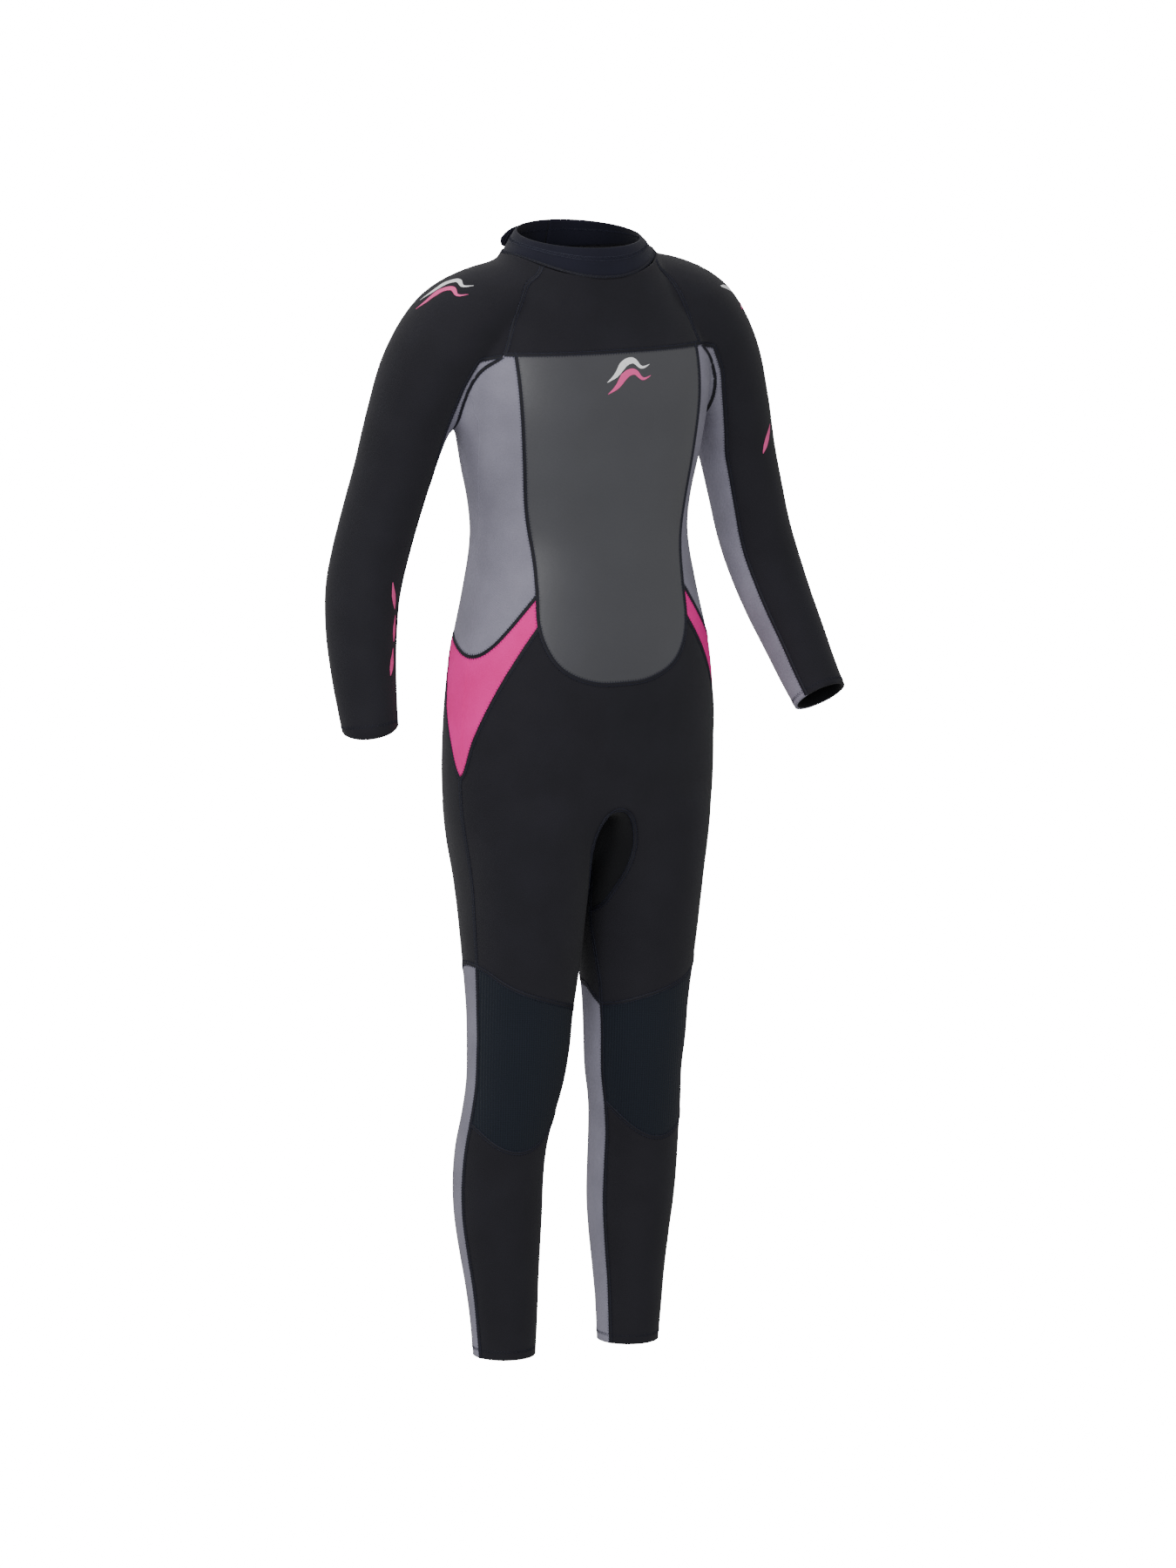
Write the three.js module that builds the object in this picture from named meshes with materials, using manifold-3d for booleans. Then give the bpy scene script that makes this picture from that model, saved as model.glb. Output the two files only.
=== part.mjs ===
// A child's long-arm, long-leg wetsuit with a back zip, standing in the shape that the wearer gives it.
// Millimetres. +Z is up, the wearer faces -Y, and the wearer's right hand is towards -X.
// The origin is on the centre plane at the shoulder line, where a wide hanger carries the suit.
import * as THREE from 'three';
import { ParametricGeometry } from 'three/addons/geometries/ParametricGeometry.js';
import { mergeVertices } from 'three/addons/utils/BufferGeometryUtils.js';
import Module from 'manifold-3d';

const wasm = await Module();
wasm.setup();

// Overall sizes
const LEG_LENGTH = 530;          // ankle hem to crotch
const TORSO_LENGTH = 620;        // crotch to the collar seam
const CHEST_HALF_WIDTH = 140;    // half of the chest's width under the arms
const HANGER_DROP = 30;          // from the collar seam down to the shoulder line
const NECK_RISE = 4;             // of the neck's cut edge at the shoulders, over the torso's length

// Neoprene and joins
const NEOPRENE = 3;              // sheet thickness
const SEAM_GAP = 0.3;            // between the glued edges of two panels
const COLLAR_GAP = 0.7;          // between the collar and the neck's cut edge
const HEM = 11;                  // folded hem at wrist and ankle

// Collar
const COLLAR_BASE = { side: 80, front: 67, back: 75 };
const COLLAR_RIM = { side: 66, front: 60, back: 64 };
const COLLAR_RISE = 17;          // of the rim over the seam at the sides
const COLLAR_TILT = 0.15;        // the rim climbs this much for each mm towards the back
const NECK_DIP = { front: 22, back: 4 };
const COLLAR_SPLIT = 8;          // between the collar's two ends at the back
const PATCH = 1;                 // thickness of the hook and loop patches
const PATCH_GAP = 0.3;           // between the layers of the closure
const TAB_REACH = { root: 19, tip: -56 };  // across the back, from the left end to past the right one

// Zip
const ZIP_SLOT = 24;             // between the two back panels
const ZIP_LENGTH = 356;
const TAPE = 1.2;                // thickness
const TAPE_DEPTH = 1;            // below the face of the neoprene
const TEETH = { pitch: 6, width: 2.4, reach: 1.1, cord: 1.1, edge: 3.3, thick: 2.4, proud: 0.6 };
const SLIDER = { long: 17, wide: 11, plate: 1.6, flange: 1.5, clearance: 0.4 };
const ARCH = { thick: 1.4, half: 0.9, foot: 1.2, slope: 1, bevel: 2, sunk: 0.5, room: 0.8 };
const PULLER = { long: 27, wide: 7, pin: 1.6, clearance: 0.4 };
const STOP = { long: 4, thick: 1.8, proud: 0.2, parting: 0.4, above: 2 };
const FLAP = { wide: 48, thick: 2, room: 0.6 };
const ZIP_FRONT = 20;            // the zip's pieces lie behind this depth

// The body form is written at the pattern size, and graded to the overall sizes above
const PATTERN = { crotch: 530, torso: 620, chest: 140 };
const GIRTH = CHEST_HALF_WIDTH / PATTERN.chest;
const ORIGIN_HEIGHT = LEG_LENGTH + TORSO_LENGTH - HANGER_DROP;

// Height above the ankle hem at pattern size, to z in the part's frame
function zAt(height) {
  const above = height - PATTERN.crotch;
  const graded = above < 0
    ? height * LEG_LENGTH / PATTERN.crotch
    : LEG_LENGTH + above * TORSO_LENGTH / PATTERN.torso;
  return graded - ORIGIN_HEIGHT;
}

// Torso form: height, half width, depth to the front, depth to the back, squareness
const TORSO_FORM = [
  [524, 100, 52, 62, 2.2],
  [545, 138, 70, 84, 2.2],
  [575, 146, 84, 94, 2.3],
  [610, 148, 88, 98, 2.3],
  [650, 148, 90, 96, 2.3],
  [700, 146, 92, 90, 2.3],
  [750, 140, 91, 83, 2.3],
  [805, 128, 86, 82, 2.2],
  [859, 119, 82, 82, 2.1],
  [900, 121, 84, 82, 2.15],
  [950, 131, 88, 82, 2.3],
  [1000, 139, 90, 82, 2.4],
  [1040, 141, 84, 82, 2.4],
  [1075, 132, 74, 82, 2.3],
  [1105, 114, 68, 82, 2.2],
  [1130, 96, 66, 80, 2.1],
  [1155, 80, 66, 74, 2.1],
  [1200, 66, 66, 66, 2],
];

// Leg form: height, centre across, centre in depth, half width, half depth
const LEG_FORM = [
  [-1, 74, 28, 32.5, 33],
  [41, 75, 28, 35, 36.5],
  [77, 76, 30, 38, 40],
  [114, 77.5, 32, 42, 44.5],
  [150, 79, 32, 45.5, 48],
  [186, 80, 30, 46.5, 50],
  [223, 79, 25, 47, 50],
  [259, 75, 16, 48, 51],
  [295, 70, 10, 50.5, 53],
  [332, 69, 5, 53, 56],
  [368, 68.5, 3, 54.5, 59],
  [409, 68, 1, 58, 66],
  [447, 68, 0, 61, 73],
  [477, 68, 0, 63, 79],
  [511, 68, 1, 66, 87],
  [550, 69, 3, 72, 91],
  [590, 69, 4, 75, 92],
];

// Arm form: centre across, centre in depth, height, half width across the bend, half depth along it
const ARM_FORM = [
  [58, 4, 1112, 36, 46],
  [98, 7, 1104, 43, 55],
  [136, 11, 1080, 49, 57],
  [166, 16, 1038, 48, 53],
  [187, 21, 985, 43.5, 46.5],
  [202, 26, 935, 39.5, 43.5],
  [215, 30, 890, 38.5, 42.5],
  [226, 32, 850, 38.5, 41],
  [236, 28, 815, 38, 39.5],
  [245, 14, 776, 36, 37.5],
  [253, -6, 738, 33, 35],
  [259, -25, 705, 30.5, 32],
  [264, -42, 679, 28.5, 30],
];

// The right forearm hangs straighter than the left: how far its end moves in, back and down
const RIGHT_ARM = { from: 0.68, inwards: 17, back: 34, down: -2 };

// A value part way along a table of rows, on a smooth curve through them
function rowAt(table, share) {
  const last = table.length - 1;
  const place = Math.min(Math.max(share, 0), 1) * last;
  const k = Math.min(Math.floor(place), last - 1);
  const t = place - k;
  const rows = [table[Math.max(k - 1, 0)], table[k], table[k + 1], table[Math.min(k + 2, last)]];
  return rows[1].map((_, i) => {
    const [a, b, c, d] = rows.map((row) => row[i]);
    return b + 0.5 * t * (c - a + t * (2 * a - 5 * b + 4 * c - d + t * (3 * (b - c) + d - a)));
  });
}

// A closed solid from rings: ringAt(share) gives a function of the angle, and both ends are capped
function tube(ringAt, around, along) {
  const rings = [];
  for (let k = 0; k <= along; k += 1) rings.push(ringAt(k / along));
  const steps = along + 2;
  const geometry = new ParametricGeometry((u, v, target) => {
    const step = Math.round(v * steps);
    const ring = rings[Math.min(Math.max(step - 1, 0), along)];
    const turn = (Math.round(u * around) % around) / around * 2 * Math.PI;
    if (step > 0 && step < steps) {
      target.copy(ring(turn));
      return;
    }
    target.copy(ring(0)).add(ring(Math.PI)).multiplyScalar(0.5);
  }, around, steps);
  return solid(geometry);
}

// A three.js geometry as a manifold solid
function solid(geometry, matrix) {
  const shape = geometry.clone();
  if (matrix) shape.applyMatrix4(matrix);
  for (const name of Object.keys(shape.attributes)) if (name !== 'position') shape.deleteAttribute(name);
  const merged = mergeVertices(shape, 1e-4);
  const vertices = merged.attributes.position.array;
  const index = merged.index.array;
  const triangles = [];
  let volume = 0;
  const [a, b, c] = [new THREE.Vector3(), new THREE.Vector3(), new THREE.Vector3()];
  for (let i = 0; i < index.length; i += 3) {
    const [p, q, r] = [index[i], index[i + 1], index[i + 2]];
    if (p === q || q === r || r === p) continue;
    triangles.push(p, q, r);
    a.fromArray(vertices, 3 * p);
    b.fromArray(vertices, 3 * q);
    c.fromArray(vertices, 3 * r);
    volume += a.dot(b.cross(c));
  }
  if (volume < 0) triangles.reverse();
  return new wasm.Manifold(new wasm.Mesh({
    numProp: 3, vertProperties: new Float32Array(vertices), triVerts: new Uint32Array(triangles),
  }));
}

// A rounded square section: n = 2 is an ellipse, and more is squarer
function rounded(angle, n) {
  const [c, s] = [Math.cos(angle), Math.sin(angle)];
  const size = (Math.abs(c) ** n + Math.abs(s) ** n) ** (-1 / n);
  return [c * size, s * size];
}

function torso(inset) {
  return tube((share) => {
    const [height, half, front, back, n] = rowAt(TORSO_FORM, share);
    const z = zAt(height) + (share === 0 ? inset : 0);
    return (turn) => {
      const [c, s] = rounded(turn, n);
      const depth = (s < 0 ? front : back) * GIRTH - inset;
      return new THREE.Vector3(c * (half * GIRTH - inset), s * depth, z);
    };
  }, 26, 19);
}

// The share along the leg's form at a pattern height
function legShare(height) {
  const next = LEG_FORM.findIndex((row) => row[0] > height);
  const [from, to] = [LEG_FORM[next - 1][0], LEG_FORM[next][0]];
  return (next - 1 + (height - from) / (to - from)) / (LEG_FORM.length - 1);
}

function leg(side, inset, extra) {
  return tube((share) => {
    const [height, across, deep, half, depth] = rowAt(LEG_FORM, share);
    const z = zAt(height) + (share === 0 ? extra : 0);
    return (turn) => new THREE.Vector3(
      side * across * GIRTH + Math.cos(turn) * (half * GIRTH - inset),
      deep * GIRTH + Math.sin(turn) * (depth * GIRTH - inset),
      z,
    );
  }, 16, 14);
}

// The arm's form at a share of its length
function armRow(side, share) {
  const row = rowAt(ARM_FORM, share);
  const bend = side < 0 ? (Math.max(share - RIGHT_ARM.from, 0) / (1 - RIGHT_ARM.from)) ** 1.5 : 0;
  row[0] -= bend * RIGHT_ARM.inwards;
  row[1] += bend * RIGHT_ARM.back;
  row[2] -= bend * RIGHT_ARM.down;
  return row;
}

function armPoint(row, side) {
  return new THREE.Vector3(side * row[0] * GIRTH, row[1] * GIRTH, zAt(row[2]));
}

// The arm's own directions at a share of its length: out to the side, to the front, and along it
function armFrame(side, share) {
  const row = armRow(side, share);
  const before = armPoint(armRow(side, Math.min(share, 1) - 0.01), side);
  const along = armPoint(armRow(side, Math.min(share + 0.01, 1)), side).sub(before).normalize();
  const front = new THREE.Vector3(0, -1, 0).addScaledVector(along, along.y).normalize();
  const out = new THREE.Vector3().crossVectors(front, along).normalize();
  return { row, along, front, out, centre: armPoint(row, side) };
}

function arm(side, inset, extra) {
  return tube((share) => {
    const { row, along, front, out, centre } = armFrame(side, share);
    centre.addScaledVector(along, share === 1 ? extra : 0);
    return (turn) => centre.clone()
      .addScaledVector(out, Math.cos(turn) * (row[3] * GIRTH - inset))
      .addScaledVector(front, Math.sin(turn) * (row[4] * GIRTH - inset));
  }, 12, 11);
}

function body(inset, extra) {
  const parts = [torso(inset)];
  for (const side of [-1, 1]) parts.push(leg(side, inset, -extra), arm(side, inset, extra));
  return parts.reduce((sum, part) => sum.add(part));
}

// A length that is a pattern height, a width or a depth, as a point in the part's frame
const at = (x, y, height) => new THREE.Vector3(x * GIRTH, y * GIRTH, zAt(height));
const flip = (points, side) => points.map(([x, y, height]) => at(side * x, y, height));

function box(x0, x1, y0, y1, z0, z1) {
  const geometry = new THREE.BoxGeometry(x1 - x0, y1 - y0, z1 - z0);
  return solid(geometry.translate((x0 + x1) / 2, (y0 + y1) / 2, (z0 + z1) / 2));
}

// The axes of a plan's two directions and of its depth, for each axis that a prism can run along
const PRISM_AXES = {
  x: [[0, 1, 0], [0, 0, 1], [1, 0, 0]],
  y: [[-1, 0, 0], [0, 0, 1], [0, 1, 0]],
  z: [[1, 0, 0], [0, 1, 0], [0, 0, 1]],
};

// A closed outline pushed along one axis: plan [u, v] lies in the plane that the axis crosses
function prism(outline, axis, from, to) {
  const plan = new THREE.Shape(outline.map(([u, v]) => new THREE.Vector2(u, v)));
  const geometry = new THREE.ExtrudeGeometry(plan, { depth: to - from, bevelEnabled: false });
  geometry.translate(0, 0, from);
  const axes = PRISM_AXES[axis].map((unit) => new THREE.Vector3(...unit));
  return solid(geometry, new THREE.Matrix4().makeBasis(...axes));
}

// The gap along a seam: a thin wall through the neoprene that follows the points and runs along a direction
function seam(points, direction, into, out, smooth = true) {
  const curve = smooth ? new THREE.CatmullRomCurve3(points, false, 'catmullrom', 0.5) : null;
  const path = smooth ? curve.getPoints(points.length * 2) : points;
  const bands = typeof direction === 'function' ? TURNING_BANDS : 1;
  const rings = path.map((point, k) => {
    const ahead = path[Math.min(k + 1, path.length - 1)].clone().sub(path[Math.max(k - 1, 0)]);
    const push = bands > 1 ? direction(point, k / (path.length - 1)) : direction;
    const across = new THREE.Vector3().crossVectors(ahead, push).normalize().multiplyScalar(SEAM_GAP / 2);
    const reaches = Array.from({ length: bands + 1 }, (_, i) => (i / bands) * (into + out) - into);
    const faces = [...reaches.map((reach) => [reach, -1]), ...reaches.reverse().map((reach) => [reach, 1])];
    return faces.map(([reach, hand]) => {
      const far = point.clone().addScaledVector(push, reach);
      return far.addScaledVector(across, hand);
    });
  });
  const corners = rings[0].length;
  return tube((share) => {
    const ring = rings[Math.round(share * (rings.length - 1))];
    return (turn) => ring[Math.round(turn / (2 * Math.PI) * corners) % corners].clone();
  }, corners, rings.length - 1);
}

const FRONT = new THREE.Vector3(0, -1, 0);
const BACK = new THREE.Vector3(0, 1, 0);
const REACH = 160 * GIRTH;       // of a cut from the centre, past the suit on every side
const TURNING_BANDS = 14;        // of a cut whose direction turns along the seam

// Seam lines, as [across, in depth, height] on the right half of the pattern, mirrored for the left
const RAGLAN = [
  [60, 0, 1178], [68, 0, 1141], [83, 0, 1126], [98, 0, 1098], [108, 0, 1074], [112, 0, 1057],
  [124, 0, 1036], [134, 0, 1015], [141, 0, 996], [143, 0, 970], [143, 0, 950],
];
const CHEST_EDGE = [
  [105, 0, 1058], [103, 0, 1000], [94, 0, 910], [86, 0, 855], [85, 0, 818], [86, 0, 783],
  [81, 0, 760], [70, 0, 741], [52, 0, 728], [26, 0, 720], [0, 0, 719],
];
const BACK_EDGE = [[112, 0, 1057], [103, 0, 1000], [94, 0, 900], [90, 0, 820], [88, 0, 748]];
const HIP_TOP = [[85, -72, 818], [112, -57, 779], [134, -40, 753], [142, -14, 748], [140, 24, 748]];
const HIP_FRONT = [[86, -74, 783], [103, -66, 754], [126, -52, 709], [141, -34, 663], [147, -15, 621]];
const HIP_BACK = [[147, -15, 621], [147, 13, 675], [144, 21, 710], [140, 24, 748]];
const HIP_VIEW = new THREE.Vector3(0.77, -0.64, 0);
const SIDE_LINE = [
  [-15, 621], [-14, 560], [-13, 500], [-12, 440], [-9, 400], [-6, 368], [-4, 332], [6, 270],
  [18, 210], [23, 160], [23, 110], [21, 60],
];
const GUSSET = [
  [0, 588], [12, 583], [21, 567], [25, 545], [22, 520], [15, 495], [10, 478], [2, 458],
];
const KNEE_TOP = [
  [-2, 366], [19, 372], [45, 382], [70, 390], [95, 399], [112, 409], [124, 421], [150, 445],
];
const KNEE_FOOT = [
  [-2, 300], [20, 278], [34, 258], [50, 240], [68, 228], [86, 225], [104, 231], [118, 245], [134, 274],
];
const WAIST_BACK = 748;          // pattern height of the seam across the back, at the zip's foot

// The skin: one closed outer form less the same form set in by the neoprene
const skin = body(0, 0).subtract(body(NEOPRENE, 20));

// The neck's cut, dipped at the front and a little at the back
function neckHeight(depth) {
  const share = depth < 0 ? depth / (COLLAR_BASE.front * GIRTH) : depth / (COLLAR_BASE.back * GIRTH);
  const dip = depth < 0 ? NECK_DIP.front : NECK_DIP.back;
  return LEG_LENGTH + TORSO_LENGTH + NECK_RISE - dip * Math.min(share * share, 1) - ORIGIN_HEIGHT;
}
const neckLine = [];
for (let depth = -REACH; depth <= REACH; depth += 8) neckLine.push([depth, neckHeight(depth)]);
const aboveNeck = prism([...neckLine, [REACH, REACH], [-REACH, REACH]], 'x', -REACH, REACH);

const group = new THREE.Group();
const BLACK = ['#1d1d21', 0.85];
const GREY = ['#80808e', 0.85];
const PINK = ['#f05fa8', 0.8];

// A solid as a named mesh
function node(name, shape, [color, roughness], metalness = 0) {
  const bits = shape.decompose();
  const kept = bits.reduce((most, bit) => (bit.volume() > most.volume() ? bit : most));
  const mesh = kept.getMesh();
  const geometry = new THREE.BufferGeometry();
  geometry.setAttribute('position', new THREE.BufferAttribute(Float32Array.from(mesh.vertProperties), 3));
  geometry.setIndex(Array.from(mesh.triVerts));
  const part = new THREE.Mesh(geometry, new THREE.MeshStandardMaterial({ color, roughness, metalness }));
  part.name = name;
  group.add(part);
}

// Cuts a solid along its seams, and gives the piece that holds most of a probe block
function pieces(shape, seams) {
  const parts = seams.reduce((rest, wall) => rest.subtract(wall), shape).decompose();
  return (point, size = 14) => {
    const probe = solid(new THREE.BoxGeometry(size, size, size).translate(point.x, point.y, point.z));
    const shares = parts.map((part) => part.intersect(probe).volume());
    return parts[shares.indexOf(Math.max(...shares))];
  };
}

const raglans = [-1, 1].map((side) => seam(flip(RAGLAN, side), FRONT, REACH, REACH));
const whole = pieces(skin.subtract(aboveNeck), raglans);

// Sleeves: a black outer panel and a grey under panel, each crossed by the elbow's stretch zone
const ELBOW = { top: 0.5, centre: 0.6, foot: 0.7 };
const WRIST = 0.955;
const UNDER_FRONT = [[0, 96], [0.25, 112], [0.4, 134], [0.6, 140], [0.8, 142], [1, 144]];
const UNDER_BACK = [[0, 262], [0.25, 255], [0.4, 262], [0.6, 280], [0.8, 300], [1, 318]];

function armSpoke(side, share, degrees) {
  const { row, out, front, centre } = armFrame(side, share);
  const turn = THREE.MathUtils.degToRad(side > 0 ? degrees : 180 - degrees);
  const spoke = out.multiplyScalar(Math.cos(turn) * row[3] * GIRTH);
  spoke.addScaledVector(front, Math.sin(turn) * row[4] * GIRTH);
  return { centre, spoke };
}
function lengthwise(side, table) {
  const knots = [];
  for (let k = 0; k <= 26; k += 1) {
    const share = k / 26 * WRIST;
    const next = table.findIndex((row) => row[0] >= share && row[0] > 0);
    const [[s0, d0], [s1, d1]] = [table[next - 1], table[next]];
    knots.push(armSpoke(side, share, d0 + (d1 - d0) * (share - s0) / (s1 - s0)));
  }
  const path = knots.map(({ centre, spoke }) => centre.clone().add(spoke));
  const ways = knots.map(({ spoke }) => spoke.clone().normalize());
  return seam(path, (point) => ways[path.indexOf(point)], 24, 40, false);
}
function crosswise(side, share) {
  const { along, centre } = armFrame(side, share);
  const disc = new THREE.CylinderGeometry(64, 64, SEAM_GAP, 24);
  const turn = new THREE.Quaternion().setFromUnitVectors(new THREE.Vector3(0, 1, 0), along);
  return solid(disc, new THREE.Matrix4().compose(centre, turn, new THREE.Vector3(1, 1, 1)));
}
for (const [hand, side] of [['right', -1], ['left', 1]]) {
  const sleeve = whole(armSpoke(side, 0.5, 0).centre, 80);
  const panelAt = pieces(sleeve, [
    lengthwise(side, UNDER_FRONT), lengthwise(side, UNDER_BACK),
    crosswise(side, ELBOW.top), crosswise(side, ELBOW.foot), crosswise(side, WRIST),
  ]);
  const probe = (share, degrees) => {
    const { centre, spoke } = armSpoke(side, share, degrees);
    return panelAt(centre.add(spoke.multiplyScalar(0.96)));
  };
  node(`sleeve_upper_outer_${hand}`, probe(0.3, 20), BLACK);
  node(`sleeve_upper_under_${hand}`, probe(0.4, 200), GREY);
  node(`elbow_outer_${hand}`, probe(ELBOW.centre, 20), BLACK);
  node(`elbow_under_${hand}`, probe(ELBOW.centre, 210), GREY);
  node(`forearm_outer_${hand}`, probe(0.85, 50), BLACK);
  node(`forearm_under_${hand}`, probe(0.85, 210), GREY);
  node(`wrist_hem_${hand}`, probe(0.985, 20), BLACK);
}

// Torso and legs
const trunk = whole(at(0, -88, 700), 30);
const yAt = (depth) => depth * GIRTH;
const hemZ = zAt(0) + HEM;
const sideLine = SIDE_LINE.map(([depth, height]) => new THREE.Vector3(0, yAt(depth), zAt(height)));
sideLine.push(new THREE.Vector3(0, sideLine[sideLine.length - 1].y, hemZ));
const sideSeam = seam(sideLine, new THREE.Vector3(1, 0, 0), REACH, REACH, false);
const edges = (points, direction) => [-1, 1].map((side) => seam(flip(points, side), direction, -20, REACH));
const chestTop = seam(
  [at(-112, -60, 1057), at(-105, -60, 1058), at(0, -70, 1059), at(105, -60, 1058), at(112, -60, 1057)],
  FRONT, 40, 70, false,
);
const hip = [-1, 1].flatMap((side) => {
  const view = new THREE.Vector3(side * HIP_VIEW.x, HIP_VIEW.y, 0);
  const sideways = new THREE.Vector3(side, 0, 0);
  const turning = (point, share) => view.clone().lerp(sideways, share).normalize();
  return [seam(flip(HIP_TOP, side), turning, 40, 50), seam(flip(HIP_FRONT, side), turning, 40, 50),
    seam(flip(HIP_BACK, side), sideways, 40, 50)];
});
const cornerY = HIP_BACK[HIP_BACK.length - 1][1] * GIRTH - SEAM_GAP / 2;
const waistZ = zAt(WAIST_BACK);
const waistBack = box(-REACH, REACH, cornerY, REACH, waistZ - SEAM_GAP / 2, waistZ + SEAM_GAP / 2);
const gussetHalf = GUSSET.map(([x, height]) => at(x, 0, height));
const gussetOther = GUSSET.map(([x, height]) => at(-x, 0, height)).reverse();
const gussetClose = gussetHalf[1].clone().lerp(gussetHalf[0], 0.5);
const gussetSeam = seam([...gussetHalf, ...gussetOther, gussetClose], FRONT, REACH, REACH, false);
function kneeLine(line, side) {
  const points = line.map(([x, height]) => at(side * x, 0, height));
  return seam(points, FRONT, REACH, REACH, false);
}
const knees = [-1, 1].flatMap((side) => [kneeLine(KNEE_TOP, side), kneeLine(KNEE_FOOT, side)]);
const hems = box(-REACH, REACH, -REACH, REACH, hemZ - SEAM_GAP / 2, hemZ + SEAM_GAP / 2);
const slot = box(-ZIP_SLOT / 2, ZIP_SLOT / 2, 0, REACH, zAt(WAIST_BACK), REACH);
const cut = pieces(trunk.subtract(slot), [
  sideSeam, ...edges(CHEST_EDGE, FRONT), ...edges(BACK_EDGE, BACK), chestTop, ...hip, waistBack,
  gussetSeam, ...knees, hems,
]);

node('chest_panel', cut(at(0, -85, 900)), ['#4a4c50', 0.5]);
node('front_yoke', cut(at(0, -66, 1100), 20), BLACK);
node('front_panel', cut(at(0, -92, 660), 20), BLACK);
node('seat_panel', cut(at(60, 96, 650), 30), BLACK);
node('crotch_gusset', cut(at(0, -88, 560), 20), BLACK);
for (const [hand, side] of [['right', -1], ['left', 1]]) {
  node(`side_panel_${hand}`, cut(at(side * 120, 10, 850), 24), GREY);
  node(`hip_panel_${hand}`, cut(at(side * 130, -48, 728), 20), PINK);
  node(`back_panel_${hand}`, cut(at(side * 50, 80, 950), 20), BLACK);
  const onLeg = (height, turn) => {
    const [, across, deep, half, depth] = rowAt(LEG_FORM, legShare(height));
    return at(side * across + side * Math.cos(turn) * half, deep - Math.sin(turn) * depth, height);
  };
  node(`knee_pad_${hand}`, cut(onLeg(320, 1.5)), ['#1c2129', 0.9]);
  node(`knee_back_${hand}`, cut(onLeg(320, -1.5)), GREY);
  node(`shin_panel_${hand}`, cut(onLeg(120, 1.5)), BLACK);
  node(`calf_panel_${hand}`, cut(onLeg(120, -1.5)), GREY);
  node(`ankle_hem_${hand}`, cut(onLeg(HEM / 2, 1.5), 9), BLACK);
}

// Collar: a band that flares from the rim down to the neck seam, split at the back under its tab
function collarAt(turn, share, offset) {
  const [c, s] = [Math.cos(turn), Math.sin(turn)];
  const part = (key) => (COLLAR_BASE[key] + (COLLAR_RIM[key] - COLLAR_BASE[key]) * share) * GIRTH;
  const depth = s * part(s < 0 ? 'front' : 'back');
  const foot = neckHeight(s * (COLLAR_BASE[s < 0 ? 'front' : 'back'] * GIRTH + offset)) + COLLAR_GAP;
  const rim = LEG_LENGTH + TORSO_LENGTH + NECK_RISE + COLLAR_RISE - ORIGIN_HEIGHT
    + COLLAR_TILT * s * COLLAR_RIM[s < 0 ? 'front' : 'back'] * GIRTH;
  return new THREE.Vector3(c * (part('side') + offset), depth + s * offset, foot + (rim - foot) * share);
}
// A strip of the collar between two turns, two heights and two offsets
function strip(turns, shares, offsets, steps) {
  const corners = [[0, 0], [1, 0], [1, 1], [0, 1]];
  return tube((share) => {
    const turn = turns[0] + (turns[1] - turns[0]) * share;
    return (angle) => {
      const [i, j] = corners[Math.round(angle / (Math.PI / 2)) % 4];
      return collarAt(turn, shares[i], offsets[j]);
    };
  }, 4, steps);
}
// The turn at which the collar's back is so far across
const backTurn = (across) => Math.acos(across / (COLLAR_BASE.side * GIRTH));
const splitTurn = backTurn(COLLAR_SPLIT / 2);
const NAVY = ['#25263a', 0.85];
const HALF_TURN = Math.PI / 2;
const gapTurn = splitTurn - HALF_TURN;
const bandTurns = [HALF_TURN - gapTurn - 2 * Math.PI, HALF_TURN + gapTurn];
node('collar_band', strip(bandTurns, [0, 1], [-NEOPRENE, 0], 40), NAVY);

// The tab grows from the collar's left end and closes over its right end with hook and loop
const loopFace = [PATCH_GAP, PATCH_GAP + PATCH];
const hookFace = [loopFace[1] + PATCH_GAP, loopFace[1] + PATCH_GAP + PATCH];
const tabFace = [hookFace[1] + PATCH_GAP, hookFace[1] + PATCH_GAP + NEOPRENE];
const tabTurns = [backTurn(TAB_REACH.root), backTurn(TAB_REACH.tip)];
const patchTurns = [backTurn(-COLLAR_SPLIT), backTurn(TAB_REACH.tip + 8)];
node('collar_tab', strip(tabTurns, [0.1, 0.9], tabFace, 12), NAVY);
node('hook_patch', strip(patchTurns, [0.16, 0.84], hookFace, 8), ['#15151a', 0.95]);
node('loop_patch', strip(patchTurns, [0.16, 0.84], loopFace, 8), ['#15151a', 0.95]);

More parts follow.
